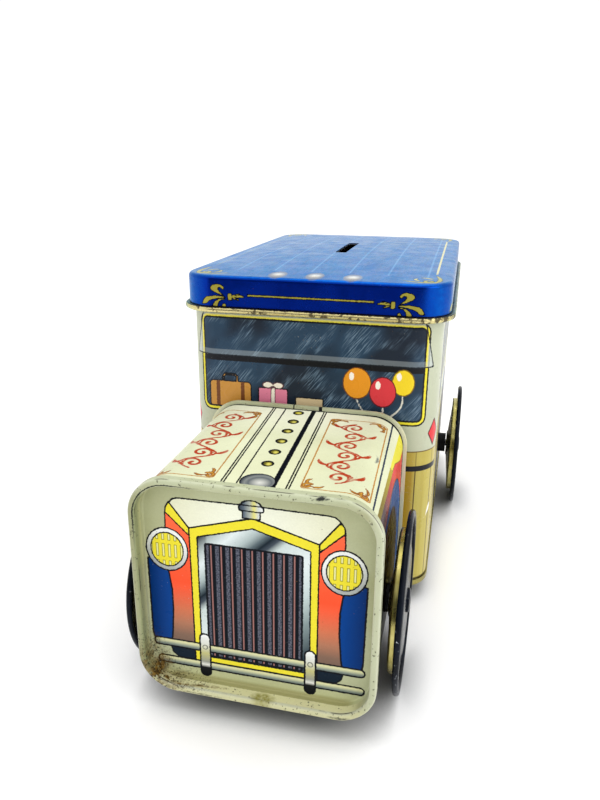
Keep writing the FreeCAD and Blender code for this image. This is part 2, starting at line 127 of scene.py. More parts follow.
class TinBusInks(bpy.types.PropertyGroup):
    """Colours of the print, the lacquers and the bare metal."""

    cream: ink("Cream", "Bonnet's upper side", 221, 225, 190)
    ivory: ink("Ivory", "Cab's upper wall", 192, 197, 172)
    khaki: ink("Khaki", "Ground of the nose", 180, 184, 149)
    tan: ink("Tan", "Planks of the cab", 186, 170, 80)
    ochre: ink("Ochre", "Shaded planks beside the bonnet", 160, 124, 18)
    royal: ink("Royal blue", "Roof lacquer", 0, 42, 158)
    sky: ink("Sky blue", "Faint planks on the roof", 86, 140, 210)
    navy: ink("Navy", "Mudguards", 0, 60, 134)
    vermilion: ink("Vermilion", "Panels beside the radiator", 250, 84, 48)
    umber: ink("Umber", "Foot of the panels beside the radiator", 128, 100, 84)
    yellow: ink("Yellow", "Trim and lamps", 230, 216, 54)
    lemon: ink("Lemon", "Light lines in the yellow", 228, 228, 160)
    gold: ink("Gold", "Roof ornament", 166, 154, 60)
    lacquer: ink("Gold lacquer", "Wheel drums, floor and rolled edge", 212, 202, 130)
    salmon: ink("Salmon", "Light lines of the grille", 160, 112, 106)
    plum: ink("Plum", "Bars of the grille", 100, 103, 116)
    red: ink("Red", "Ornaments of the cab", 220, 50, 56)
    russet: ink("Russet", "Scrolls on the bonnet", 172, 58, 28)
    olive: ink("Olive", "Vents on the bonnet", 136, 128, 44)
    chrome: ink("Chrome light", "Light side of printed chrome", 218, 228, 228)
    gunmetal: ink("Chrome dark", "Dark side of printed chrome", 66, 76, 86)
    glass: ink("Glass", "Windows", 40, 64, 86)
    glint: ink("Glint", "Streaks in the windows", 116, 140, 160)
    black: ink("Black", "Key lines", 14, 17, 24)
    enamel: ink("Enamel", "Tyres", 12, 15, 20)
    rust: ink("Rust", "Worn edges", 96, 66, 26)
    tin: ink("Bare tin", "Unprinted inside and scratches", 178, 176, 168)


class TinBusWear(bpy.types.PropertyGroup):
    """How worn the tin is."""

    grain: amount("Grain", "Unevenness of the print", 0.5)
    specks: amount("Specks", "Dark pinholes in the print", 0.5)
    scratches: amount("Scratches", "Fine scratches", 0.5)
    chips: amount("Chips", "Chipped paint on the folded edges", 0.5)


def millimetres(context, *names):
    """The named sizes in millimetres."""
    sizes = context.scene.tin_bus_sizes
    return [getattr(sizes, name) / MM for name in names]


def cad_box(node):
    """A CAD node's lowest and highest corners in millimetres."""
    low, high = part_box(node)
    return np.array(low) / MM, np.array(high) / MM


# ---------------------------------------------------------------- surfaces


def stops(reach, step, fine=0.0, fine_step=0.5):
    """Places from -reach to reach: every step in the middle, every fine_step within fine of either end."""
    middle = np.linspace(fine - reach, reach - fine, round(2 * (reach - fine) / step) + 1)
    if not fine:
        return middle
    end = np.linspace(reach - fine, reach, round(fine / fine_step) + 1)[1:]
    return np.concatenate([-end[::-1], middle, end])


def rounded_outline(half_a, half_b, radius, near, side, far, arc):
    """A rounded rectangle walked from the middle of its far side, round the near side and back. Each point is a core
    point on the inner rectangle plus radius times an outward normal; run is the way walked, 0 in the middle of the
    near side, with one value more than there are points. near, side and far
    are each a step, or all that stops takes."""
    a, b = half_a - radius, half_b - radius
    near, side, far = (stops(reach, *np.atleast_1d(step)) for reach, step in ((a, near), (b, side), (a, far)))
    turn = np.linspace(0.0, np.pi / 2, arc + 1)[1:-1]
    sin, cos = np.sin(turn), np.cos(turn)
    half_far = far[far > -1e-9]
    walk = (
        (-half_far, b, 0, 1),
        (-a, b, -sin, cos),
        (-a, -side, -1, 0),
        (-a, -b, -cos, -sin),
        (near, -b, 0, -1),
        (a, -b, sin, -cos),
        (a, side, 1, 0),
        (a, b, cos, sin),
        (half_far[:0:-1], b, 0, 1),
    )
    table = np.concatenate([np.stack(np.broadcast_arrays(*map(np.asarray, leg)), -1).reshape(-1, 4) for leg in walk])
    core, normal = table[:, :2].astype(float), table[:, 2:].astype(float)
    line = core + radius * normal
    steps = np.linalg.norm(np.roll(line, -1, axis=0) - line, axis=1)
    run = np.concatenate([[0.0], np.cumsum(steps)])
    return core, normal, run - run[-1] / 2


def carried(core, normal, radius, profile):
    """A profile of (out, up) points carried round an outline: core plus radius + out times the normal, at height up."""
    out, up = profile.T
    flat = core[:, None] + (radius + out)[None, :, None] * normal[:, None]
    return np.concatenate([flat, np.broadcast_to(up, flat.shape[:2])[..., None]], axis=-1)


def drawn_in(rim, shares, up, hole=np.zeros(2)):
    """Rings between a closed line and a hole or its middle: line times share plus hole times the rest, at height up."""
    share = shares[None, :, None]
    flat = hole[..., None, :] * (1 - share) + rim[:, None, :2] * share
    return np.concatenate([flat, np.full(flat.shape[:2] + (1,), up)], axis=-1)


def closed_in(rim, first_up, last_up, count, stride=1):
    """A carried rim closed on both sides: rings drawn in from its first line at count shares, and from its last line at
    every stride-th of them."""
    shares = np.linspace(0.0, 1.0, count)[1:-1]
    first, last = drawn_in(rim[:, 0], shares, first_up), drawn_in(rim[:, -1], shares[::-stride], last_up)
    return np.concatenate([first, rim, last], axis=1)


def spread(values, grid):
    """One value for each point of a path, repeated across the grid."""
    return np.broadcast_to(values[:, None], grid.shape[:2]).ravel()


def column(out, start, end, count):
    """Points straight up or down, with both ends."""
    return np.stack([np.full(count, out), np.linspace(start, end, count)], axis=-1)


def bow(centre, radii, start, end, count):
    """Points on an ellipse from the start to the end angle, in degrees."""
    angle = np.radians(np.linspace(start, end, count))
    return np.stack([centre[0] + radii[0] * np.cos(angle), centre[1] + radii[1] * np.sin(angle)], axis=-1)


def straight(start, end, count):
    """Points on a straight line, without its ends."""
    share = np.linspace(0.0, 1.0, count + 2)[1:-1, None]
    return np.array(start) * (1 - share) + np.array(end) * share


def upright(grid, middle):
    """Outline in X and Y, height in Z."""
    return grid + np.array((0.0, middle, 0.0))


def lengthwise(grid, middle):
    """Outline in X and downward Z, height along Y."""
    return np.stack([grid[..., 0], grid[..., 2], middle - grid[..., 1]], axis=-1)


def turned(profile, axle_y, axle_z, hub, side, count=128):
    """A profile of (along, radius) points turned about an axle along X: X is hub + along on the given side, and the
    radius goes round in Y and Z."""
    angle = np.linspace(0.0, 2 * np.pi, count, endpoint=False)[:, None]
    along, radius = profile.T
    x = np.broadcast_to(side * (hub + along), (count, len(along)))
    return np.stack([x, axle_y + radius * np.cos(angle), axle_z + radius * np.sin(angle)], axis=-1)


def skin(grid, poles):
    """Points, quads and triangles of a grid that closes round its path. Across it the grid closes too, or with poles
    its first and last rings end in their middle points."""
    count, across = grid.shape[:2]
    i = np.arange(count)[:, None]
    j = np.arange(across - 1 if poles else across)[None, :]
    here, there, over = i * across, (i + 1) % count * across, (j + 1) % across
    quads = np.stack(np.broadcast_arrays(here + j, there + j, there + over, here + over), axis=-1).reshape(-1, 4)
    points = grid.reshape(-1, 3)
    if not poles:
        return points, quads, np.empty((0, 3), int)
    points = np.concatenate([points, grid[:, 0].mean(axis=0)[None], grid[:, -1].mean(axis=0)[None]])
    first, last = np.full(count, count * across), np.full(count, count * across + 1)
    here, there = here[:, 0], there[:, 0]
    fans = np.concatenate([
        np.stack([there, here, first], axis=-1),
        np.stack([here + across - 1, there + across - 1, last], axis=-1),
    ])
    return points, quads, fans


def press(name, grid, body, stands_for, material, poles=False, plates=None, run=None, unprinted=0):
    """Puts a closed surface into a mesh, faces outward by the sign of its volume, and hangs it on its body. plates
    takes the points and gives one number each for every printing plate; run gives the flat sheet's coordinate round
    the path, kept with the height as the Sheet UV map; the last unprinted columns are the sheet's bare side."""
    points, quads, fans = skin(grid, poles)
    halves = np.concatenate([quads[:, :3], quads[:, (0, 2, 3)], fans])
    corner = points[halves]
    inside_out = np.einsum("ij,ij->", corner[:, 0], np.cross(corner[:, 1], corner[:, 2])) < 0
    flow = slice(None, None, -1) if inside_out else slice(None)
    loops = np.concatenate([quads[:, flow].ravel(), fans[:, flow].ravel()])
    starts = np.concatenate([np.arange(len(quads)) * 4, quads.size + np.arange(len(fans)) * 3])
    mesh = bpy.data.meshes.new(name)
    mesh.vertices.add(len(points))
    mesh.vertices.foreach_set("co", (points * MM).astype(np.float32).ravel())
    mesh.loops.add(len(loops))
    mesh.loops.foreach_set("vertex_index", loops.astype(np.int32))
    mesh.polygons.add(len(starts))
    mesh.polygons.foreach_set("loop_start", starts.astype(np.int32))
    mesh.polygons.foreach_set("use_smooth", np.ones(len(starts), bool))
    mesh.update(calc_edges=True)
    if run is not None:
        count = len(grid)
        i = np.repeat(np.arange(count), len(quads) // count)
        round_path = np.stack([run[i], run[i + 1], run[i + 1], run[i]], axis=-1)
        flat = np.stack([round_path[:, flow].ravel(), points[quads[:, flow].ravel(), 2]], axis=-1)
        mesh.uv_layers.new(name="Sheet").data.foreach_set("uv", (flat * MM).astype(np.float32).ravel())
    values = plates(points) if plates else {}
    if unprinted:
        values["unprinted"] = np.broadcast_to(np.arange(grid.shape[1]) >= grid.shape[1] - unprinted, grid.shape[:2])
    for plate, value in values.items():
        mesh.attributes.new(plate, "FLOAT", "POINT").data.foreach_set("value", value.astype(np.float32).ravel())
    mesh.set_sharp_from_angle(angle=np.radians(35.0))
    if mesh.validate():
        raise RuntimeError(f"the surface of {name} isn't clean")
    mesh.materials.append(material)
    piece = bpy.data.objects.new(name, mesh)
    bpy.context.scene.collection.objects.link(piece)
    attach(piece, body)
    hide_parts(*stands_for)


# ---------------------------------------------------------------- printing plates: distances in mm, below 0 inside


def disc(p, q, centre, radius):
    """Distance to a circle."""
    return np.hypot(p - centre[0], q - centre[1]) - radius


def oval(p, q, centre, radii):
    """Scaled distance to an ellipse."""
    return (np.hypot((p - centre[0]) / radii[0], (q - centre[1]) / radii[1]) - 1) * min(radii)


def slab(p, q, low, high, radius=0.0):
    """Distance to a rectangle with rounded corners."""
    across = np.abs(p - (low[0] + high[0]) / 2) - (high[0] - low[0]) / 2 + radius
    up = np.abs(q - (low[1] + high[1]) / 2) - (high[1] - low[1]) / 2 + radius
    return np.hypot(np.maximum(across, 0), np.maximum(up, 0)) + np.minimum(np.maximum(across, up), 0) - radius


def panel(p, q, corners):
    """Distance to a polygon: the nearest of its edges, negative where a level ray crosses an odd number of them."""
    inside = np.zeros(p.shape, bool)
    nearest = np.full(p.shape, np.inf)
    for (px, py), (qx, qy) in zip(corners, corners[1:] + corners[:1]):
        ex, ey = qx - px, qy - py
        share = np.clip(((p - px) * ex + (q - py) * ey) / (ex * ex + ey * ey), 0, 1)
        nearest = np.minimum(nearest, np.hypot(p - px - share * ex, q - py - share * ey))
        if ey:
            inside ^= ((py > q) != (qy > q)) & (p < px + (q - py) * ex / ey)
    return np.where(inside, -nearest, nearest)


def stroke(p, q, line, widths):
    """Distance to a brush stroke: the nearest leg of its line, less the brush's half-width there."""
    nearest = np.full(p.shape, np.inf)
    for (px, py), (qx, qy), start, end in zip(line, line[1:], widths, widths[1:]):
        ex, ey = qx - px, qy - py
        share = np.clip(((p - px) * ex + (q - py) * ey) / max(ex * ex + ey * ey, 1e-9), 0, 1)
        brush = start + (end - start) * share
        nearest = np.minimum(nearest, np.hypot(p - px - share * ex, q - py - share * ey) - brush)
    return nearest


def arch(start, pull, end, count=9):
    """Points on a curve from start to end, drawn towards pull."""
    t = np.linspace(0, 1, count)[:, None]
    return ((1 - t) ** 2 * np.array(start) + 2 * t * (1 - t) * np.array(pull) + t * t * np.array(end)).tolist()


def swell(count, start, middle, end):
    """Brush half-widths along a stroke, drawn from start to end towards middle as an arch is."""
    t = np.linspace(0, 1, count)
    return (start * (1 - t) ** 2 + 2 * middle * t * (1 - t) + end * t * t).tolist()


def volute(centre, radius, start, turns, count=22):
    """A spiral that winds in to its centre from the given start angle, in degrees."""
    t = np.linspace(0, 1, count)
    angle = np.radians(start) + turns * 2 * np.pi * t
    reach = radius * (1 - 0.85 * t)
    return np.stack([centre[0] + reach * np.cos(angle), centre[1] + reach * np.sin(angle)], axis=-1).tolist()


def joined(*shapes):
    """One plate from several shapes."""
    return np.minimum.reduce(shapes)


def nose_plates(points):
    """The radiator, lamps, mudguards and bumpers on the nose, in X from the print's middle and Z."""
    x, y, z = points.T
    m, bar, cap = np.abs(x - PRINT_SHIFT), np.abs(x + 0.33), np.abs(x - PRINT_SHIFT + 0.3)
    outer = panel(m, z, [(-1, 61.2), (17.4, 55.9), (17.2, 14.3), (-1, 14.3)])
    inner = panel(m, z, [(-1, 58.3), (15.2, 53.6), (15.3, 16.0), (-1, 16.0)])
    wing = [(23.9, 46), (23.8, 41.8), (23.1, 36.5), (23.1, 30), (23.7, 22), (24.4, 17.6)]
    return {
        "panels": panel(m, z, [(23.9, 60), (17.2, 54), (17.2, 16.6), *wing[::-1], (24.0, 54)]),
        "mudguards": np.maximum(
            panel(m, z, [(30.0, 45.2), (28.6, 45.6), *wing, (28.9, 17.6), (29.6, 22), (29.8, 36)]), -30.5 - x
        ),
        "tyres": panel(m, z, [(17.3, 17.6), (24.4, 18.2), (24.0, 15.8), (22.4, 14.4), (17.3, 14.3)]),
        "hood": panel(m, z, [(-1, 64.5), (20.0, 64.3), (21.4, 64.0), (22.7, 62.8), (17.4, 55.9), (-1, 61.3)]),
        "braces": panel(m, z, [(22.7, 62.8), (23.6, 61.5), (23.9, 59.9), (17.4, 53.6), (17.4, 55.9)]),
        "trim": np.maximum(outer, -inner),
        "shell": inner,
        "grille": slab(m, z, (-1, 16.4), (13.1, 51.9), 0.5),
        "lamps": oval(m, z, (23.9, 48.65), (5.9, 6.45)),
        "bumpers": joined(*(
            slab(x, z, (-left, low), (29.3, low + 2.4), 1.2) for low, left in ((17.62, 30.2), (11.8, 29.3))
        )),
        "inset": slab(x, z, (-33, 6.5), (33, 71.5), 11.0),
        "riders": slab(bar, z, (13.4, 9.4), (16.35, 23.4), 1.45),
        "bolts": disc(bar, z, (14.87, 19.0), 0.7),
        "filler": joined(
            slab(cap, z, (-1, 60.8), (2.35, 63.3)), slab(cap, z, (-1, 62.9), (3.3, 64.5), 0.6),
            oval(cap, z, (0, 64.4), (2.75, 1.55)),
        ),
        "flange": slab(cap, z, (-1, 62.9), (3.3, 64.5), 0.6),
        "rim": y - NOSE_PANEL_Y + 1.5,
        "stain": np.where(z < 10.6, oval(x, y, (2.3, -103.0), (3.0, 1.7)), FAR_OFF),
        "rusty": joined(
            oval(x, z, (-28.7, 11.0), (2.6, 3.4)), oval(x, z, (-30.9, 15.0), (1.2, 3.2)),
            oval(x, z, (-26.4, 8.0), (3.2, 1.0)),
        ),
        "rusty_seam": np.where(z < 10.6, stroke(
            x, y, [(-26, -102.4), (-21, -103.4), (-15.5, -102.5), (-8.4, -102.0)], [0.7, 0.4, 0.4, 0.2],
        ), FAR_OFF),
        "knocks": np.where(y < -102.8, joined(
            stroke(x, z, [(15.4, 70.7), (17.6, 71.2), (19.6, 71.3)], [0.1, 0.45, 0.1]),
            stroke(x, z, [(12.0, 69.6), (17.0, 69.75), (21.8, 69.6)], [0.05, 0.16, 0.05]),
            stroke(x, z, [(19.0, 7.6), (23.4, 7.5), (26.4, 8.0)], [0.1, 0.34, 0.1]),
            stroke(x, z, [(-21.4, 7.4), (-15.0, 7.35), (-9.0, 7.35)], [0.05, 0.2, 0.05]),
        ), FAR_OFF),
    }


def bonnet_plates(points, run):
    """The lines, vents, frames and scrolls over the bonnet, in the way round it from the top's middle and Y."""
    _, y, z = points.T
    share = np.clip((y - ASKEW_NEAR[0]) / (ASKEW_FAR[0] - ASKEW_NEAR[0]), -0.1, 1.1)
    u = run - (ASKEW_NEAR[1] + share * (ASKEW_FAR[1] - ASKEW_NEAR[1]))
    m = np.abs(u)
    stem, sway, near, far = 19.6, 4.0, -93.5, -51.5
    wave = np.linspace(near, far, 90)
    vine = np.stack([stem + sway * np.sin(2 * np.pi * (wave - near) / 14.0), wave], axis=-1).tolist()
    flourish = [stroke(m, y, vine, swell(90, 0.3, 0.5, 0.3))]
    for k in range(6):
        out, middle = 1 - 2 * (k % 2), -90.0 + 7.0 * k
        leaf = [(stem + out * sway, middle), (stem + out * 6.4, middle + 0.4), (stem + out * 6.8, middle + 3.4)]
        flourish += [
            stroke(m, y, volute((stem, middle), 3.3, -90, out * 1.4), swell(22, 0.3, 0.5, 0.5)),
            stroke(m, y, arch(*leaf), swell(9, 0.3, 1.1, 0.1)),
        ]
    low, high, corners = np.array((11.4, -97.8)), np.array((29.2, -48.5)), []
    for at, way in ((low, (1, 1)), ((low[0], high[1]), (1, -1)), ((high[0], low[1]), (-1, 1)), (high, (-1, -1))):
        leaf = np.array(((1.2, 2.6), (0.4, 4.6), (2.0, 5.6)))
        curl = volute(at + 1.5 * np.array(way), 1.5, 45 if way[0] > 0 else 135, 1.1)
        corners.append(stroke(m, y, curl, swell(22, 0.4, 0.4, 0.25)))
        for side in (leaf, leaf[:, ::-1]):
            corners.append(stroke(m, y, arch(*(at + side * way)), swell(9, 0.15, 0.65, 0.1)))
    return {
        "across": u,
        "vents": joined(*(oval(u, y, (0.1, -86 + 8.0 * k), (1.5, 1.6)) for k in range(6))),
        "cap": disc(u, y, (0.3, -97.1), 4.5),
        "cap_tone": np.hypot(u - 1.0, y + 97.6) / 4.9,
        "frames": slab(m, y, low, high, 1.0),
        "scrolls": joined(*corners),
        "flourish": joined(*flourish),
        "flank": 32.2 - np.abs(run),
        "panel_end": panel(
            y, np.abs(run), [(-41, 31), (-41, 38.2), (-52.7, 37.6), (-63.5, 34.0), (-70, 33.6), (-70, 31)]
        ),
        "mudguard": disc(y, z, (FRONT_AXLE_Y, AXLE_HEIGHT), GUARD_RADIUS),
        "arch": disc(y, z, (-80.0, AXLE_HEIGHT), 29.0),
        "back_line": -43.5 - y - 0.6 * np.clip((run - 18.0) / 8.0, 0, 1),
        "chipped": stroke(u, y, [(28.0, -76.2), (28.6, -73.6), (28.1, -71.0)], [0.1, 0.5, 0.15]),
        # Painted highlights on the vents.
        "vent_highlights": joined(*(oval(u, y, (0.45, -86.3 + 8.0 * k), (0.6, 0.8)) for k in range(6))),
    }


def cab_plates(points, run):
    """The windows with their frames, the visor, parcels and ornaments round the cab, in the way round it and Z."""
    _, y, z = points.T
    u, m = run, np.abs(run)
    half = m.max()
    pane = slab(u, z, (-37.6, 66.2), (38.2, 99.6), 3.0)
    windows = joined(*(slab(m, z, (51.5 + 28.4 * k, 68.5), (75.5 + 28.4 * k, 96.0), 4.0) for k in range(4)))
    rear = slab(m, z, (half - 22.0, 70.0), (half + 22.0, 95.0), 4.0)
    frames = joined(pane, windows, rear)
    return {
        "frames": frames,
        "visor": panel(m, z, [(-1, 100), (36.4, 100), (40.2, 85.6), (-1, 85.6)]),
        "visor_bar": np.where(m < 40.2, np.abs(z - 84.6) - 0.95, FAR_OFF),
        "suitcase": joined(
            slab(u, z, (-34.5, 67.4), (-20.0, 76.6), 1.2),
            np.abs(slab(u, z, (-29.6, 75.6), (-24.9, 79.0), 1.0)) - 0.35
        ),
        "straps": joined(slab(u, z, (-32.2, 67.4), (-30.9, 76.6)), slab(u, z, (-23.6, 67.4), (-22.3, 76.6))),
        "gift": slab(u, z, (-17.4, 67.4), (-7.4, 75.2), 0.4),
        "ribbon": joined(
            slab(u, z, (-13.1, 67.4), (-11.7, 75.2)), oval(u, z, (-14.2, 76.3), (1.8, 1.0)),
            oval(u, z, (-10.6, 76.3), (1.8, 1.0))
        ),
        "parcel": slab(u, z, (-4.6, 67.4), (4.6, 72.8), 0.4),
        "balloon_orange": oval(u, z, (15.6, 79.2), (4.5, 5.2)),
        "balloon_red": oval(u, z, (24.0, 76.8), (4.2, 5.0)),
        "balloon_yellow": oval(u, z, (30.4, 80.4), (3.5, 4.3)),
        "glints": joined(*(oval(u, z, at, (0.8, 1.4)) for at in ((13.8, 81.4), (22.4, 79.0), (29.0, 82.3)))),
        "strings": joined(*(
            stroke(u, z, arch((at, low), (at + 1.0, 70.0), (22.5, 66.5)), [0.28] * 9)
            for at, low in ((15.6, 74.0), (24.0, 71.8), (30.4, 76.1))
        )),
        "lozenge": panel(m, z, [(42.8, 58.4), (45.6, 63.0), (42.8, 67.6), (40.0, 63.0)]),
        "mudguard": np.where(m < 60, FAR_OFF, disc(y, z, (REAR_AXLE_Y, AXLE_HEIGHT), GUARD_RADIUS)),
        "bare": joined(
            stroke(u, z, [(42.0, 33.0), (43.0, 34.8), (43.5, 36.6)], [0.3, 0.7, 0.3]), disc(u, z, (41.1, 31.4), 0.4)
        ),
    }


def roof_plates(points, corner_way, half_a, half_b, middle):
    """The gold lines and scrolls on the lid: on the skirt in the way from the nearest corner and Z, on the top in X
    and Y, the same in all four corners."""
    x, y, z = (points - (0.0, middle, 0.0)).T
    c = corner_way
    skirt = joined(
        np.maximum(np.abs(z - 106.1) - 0.22, 20.9 - c),
        slab(c, z, (14.35, 104.4), (15.5, 106.45), 0.2),
        stroke(c, z, [(15.9, 105.7), (18.1, 106.4)], [0.2, 0.06]),
        stroke(c, z, [(15.6, 105.4), (18.3, 105.75), (19.6, 105.6)], [0.12, 0.3, 0.05]),
        stroke(c, z, [(16.1, 105.1), (17.8, 104.55)], [0.2, 0.06]),
        panel(c, z, [
            (12.7, 105.8), (10.84, 106.45), (9.2, 107.2), (8.5, 107.85), (8.65, 108.55), (9.5, 109.05),
            (10.9, 109.3), (12.2, 109.0), (12.95, 108.3),
            (12.6, 107.6), (12.25, 108.1), (11.75, 108.5), (11.05, 108.35), (10.7, 107.8), (11.3, 106.95),
        ]),
        panel(c, z, [
            (13.3, 105.3), (10.0, 105.55), (7.1, 105.1), (6.1, 104.35), (5.3, 102.8), (6.9, 103.05), (7.5, 103.75),
            (8.65, 104.4), (11.0, 104.9),
        ]),
        panel(
            c, z,
            [(13.2, 104.8), (11.2, 104.45), (9.9, 103.6), (9.0, 102.3), (10.65, 102.3), (10.9, 103.4), (11.6, 104.25)]
        ),
        panel(c, z, [(12.2, 102.3), (12.7, 103.1), (13.3, 103.05), (13.5, 102.3)]),
    )
    p, q = half_a - np.abs(x), half_b - np.abs(y)
    top = joined(
        stroke(p, q, volute((7.0, 6.4), 2.3, 200, 1.1), swell(22, 0.5, 0.5, 0.3)),
        stroke(p, q, arch((5.4, 4.4), (10.0, 3.2), (15.0, 5.4)), swell(9, 0.5, 0.8, 0.15)),
        stroke(p, q, arch((4.6, 6.2), (3.4, 11.0), (5.4, 16.5)), swell(9, 0.5, 0.8, 0.15)),
        stroke(p, q, arch((10.5, 6.4), (12.5, 8.4), (11.0, 9.8)), swell(9, 0.4, 0.6, 0.15)),
        stroke(p, q, arch((6.6, 10.5), (8.6, 12.5), (10.0, 11.4)), swell(9, 0.4, 0.6, 0.15)),
    )
    on_top = z > 111.6
    lamps = joined(*(oval(x, half_b + y, (at, 5.6), (2.9, 5.2)) for at in (-11.6, 0.5, 12.6)))
    return {
        "gilding": np.where(on_top, top, skirt),
        "lamps": np.where(on_top, lamps, FAR_OFF),
        "curl": z - 102.05,
        "topside": 112.2 - z,
        # Painted sheen: 1 on the top and towards the skirt's corners, where the lacquer is painted lighter.
        "painted_sheen": np.clip(np.maximum(0.6 - c / 13.0, (z - 111.2) / 0.8), 0, 1),
    }


# ---------------------------------------------------------------- finishes


class Finish:
    """One node material. Each method adds a node and gives back its output socket."""

    def __init__(self, name):
        """A new material; kept holds the coordinates and plates that were asked for before."""
        self.material = bpy.data.materials.new(name)
        self.material.use_nodes = True
        self.nodes = self.material.node_tree.nodes
        self.links = self.material.node_tree.links
        self.shader = self.nodes["Principled BSDF"]
        self.place = self.nodes.new("ShaderNodeTexCoord").outputs["Object"]
        self.kept = {}

    def put(self, socket, value):
        """Links a socket, or sets a number or a colour."""
        if isinstance(value, bpy.types.NodeSocket):
            self.links.new(value, socket)
        elif socket.type == "RGBA":
            socket.default_value = (*value[:3], 1.0)
        else:
            socket.default_value = value

    def node(self, kind, inputs, output=0, **settings):
        """Any shader node, with its inputs and settings."""
        made = self.nodes.new("ShaderNode" + kind)
        for name, value in settings.items():
            setattr(made, name, value)
        for name, value in inputs.items():
            self.put(made.inputs[name], value)
        return made.outputs[output]

    def math(self, operation, first, second=0.0):
        """One sum of two numbers."""
        return self.node("Math", {0: first, 1: second}, operation=operation)

    def ramp(self, value, start, end, low=0.0, high=1.0):
        """Goes from low to high as the value goes from start to end, and stays there."""
        return self.node("MapRange", {0: value, 1: start, 2: end, 3: low, 4: high})

    def mix(self, share, under, over):
        """Under times what the share leaves, plus over times the share."""
        return self.node("Mix", {0: share, 6: under, 7: over}, 2, data_type="RGBA")

    def axis(self, letter):
        """A coordinate in millimetres."""
        if letter not in self.kept:
            apart = self.node("SeparateXYZ", {0: self.place}, "XYZ".index(letter))
            self.kept[letter] = self.math("MULTIPLY", apart, 1 / MM)
        return self.kept[letter]

    def sheet(self):
        """Where a point lies on the flat sheet."""
        return self.node("UVMap", {}, uv_map="Sheet")

    def noise(self, size, detail=2.0, stretch=(1.0, 1.0, 1.0), turn=(0.0, 0.0, 0.0), place=None):
        """Noise with features of about that size in millimetres, turned and drawn out by stretch."""
        place = place or self.place
        if stretch != (1.0, 1.0, 1.0):
            place = self.node("Mapping", {"Vector": place, "Rotation": turn, "Scale": stretch}, vector_type="TEXTURE")
        return self.node("TexNoise", {"Vector": place, "Scale": 1 / (size * MM), "Detail": detail})

    def mottle(self, size, under, over, detail=2.0, start=0.3, end=0.7):
        """Two colours in patches: mixed as noise of that size goes from start to end."""
        return self.mix(self.ramp(self.noise(size, detail), start, end), under, over)

    def raw(self, name):
        """A plate's value as it stands in the mesh."""
        return self.node("Attribute", {}, 2, attribute_name=name)

    def plate(self, name):
        """A printing plate's distance, with the slight waver of a printed edge."""
        if name not in self.kept:
            if "waver" not in self.kept:
                self.kept["waver"] = self.ramp(self.noise(0.6, 1.0), 0.3, 0.7, -0.07, 0.07)
            self.kept[name] = self.math("ADD", self.raw(name), self.kept["waver"])
        return self.kept[name]

    def inside(self, name, grow=0.0, soft=0.06):
        """1 inside a plate grown by grow, 0 outside."""
        return self.ramp(self.plate(name), grow + soft, grow - soft)

    def line(self, name, width=0.4, at=0.0):
        """1 on a plate's edge, or on a line at a distance from it."""
        off = self.math("ABSOLUTE", self.math("SUBTRACT", self.plate(name), at))
        return self.ramp(off, width / 2 + 0.06, width / 2 - 0.06)

    def both(self, first, second):
        """Where two masks overlap: their product."""
        return self.math("MULTIPLY", first, second)

    def between(self, value, low, high, soft=0.06):
        """1 between two levels."""
        return self.both(self.ramp(value, low - soft, low + soft), self.ramp(value, high + soft, high - soft))

    def fill(self, under, name, colour, grow=0.0, outline=None, width=0.4):
        """Prints a plate in a colour, with a key line round it if an outline colour is given."""
        laid = self.mix(self.inside(name, grow), under, colour)
        return laid if outline is None else self.mix(self.line(name, width), laid, outline)

    def over(self, under, *layers):
        """Lays inks one over another. Each is a mask and a colour, or a plate's name, a colour and the colour and width
        of a key line if there is one."""
        for where, colour, *key in layers:
            if isinstance(where, str):
                under = self.fill(under, where, colour, 0.0, *key)
            else:
                under = self.mix(where, under, colour)
        return under

    def tones(self, value, *stops_and_colours):
        """Colours along a value from 0 to 1."""
        made = self.nodes.new("ShaderNodeValToRGB")
        self.links.new(value, made.inputs[0])
        elements = made.color_ramp.elements
        while len(elements) < len(stops_and_colours):
            elements.new(0.5)
        for element, (place, _) in zip(elements, stops_and_colours):
            element.position = place
        for element, (_, colour) in zip(elements, stops_and_colours):
            element.color = (*colour[:3], 1.0)
        return made.outputs[0]

    def done(self, colour, roughness, metallic=0.0, dents=0.05, specular=0.2):
        """Sets the shader. dents is the depth in millimetres of the sheet's slight unevenness."""
        height = self.math("ADD", self.noise(9.0, 1.0), self.math("MULTIPLY", self.noise(0.5, 2.0), 0.06))
        bump = self.node("Bump", {"Strength": 0.35, "Distance": dents * MM, "Height": height})
        for name, value in {
            "Base Color": colour, "Roughness": roughness, "Metallic": metallic, "Specular IOR Level": specular,
            "Normal": bump,
        }.items():
            self.put(self.shader.inputs[name], value)
        return self.material


def aged(finish, context, colour, bare=None):
    """Wear that all the printed pieces share: uneven ink, dark pinholes, and fine scratches to the bare metal."""
    wear, inks = context.scene.tin_bus_wear, context.scene.tin_bus_inks
    fine = finish.ramp(finish.noise(0.4, 2.0), 0.25, 0.75, -0.07 * wear.grain, 0.07 * wear.grain)
    broad = finish.ramp(finish.noise(17.0, 3.0), 0.3, 0.7, 1 - 0.09 * wear.grain, 1 + 0.05 * wear.grain)
    colour = finish.node("HueSaturation", {"Value": finish.math("ADD", fine, broad), "Color": colour})
    pinholes = finish.ramp(finish.noise(0.8, 1.0), 0.78, 0.80, 0.0, wear.specks)
    colour = finish.mix(pinholes, colour, inks.rust)
    scratch = finish.both(
        finish.ramp(finish.noise(0.35, 1.0, (40.0, 1.0, 1.0), (0.3, 0.7, 0.6)), 0.72, 0.76),
        finish.ramp(finish.noise(22.0, 1.0), 0.52, 0.62, 0.0, 0.7 * wear.scratches),
    )
    return finish.mix(scratch, colour, bare or inks.tin)


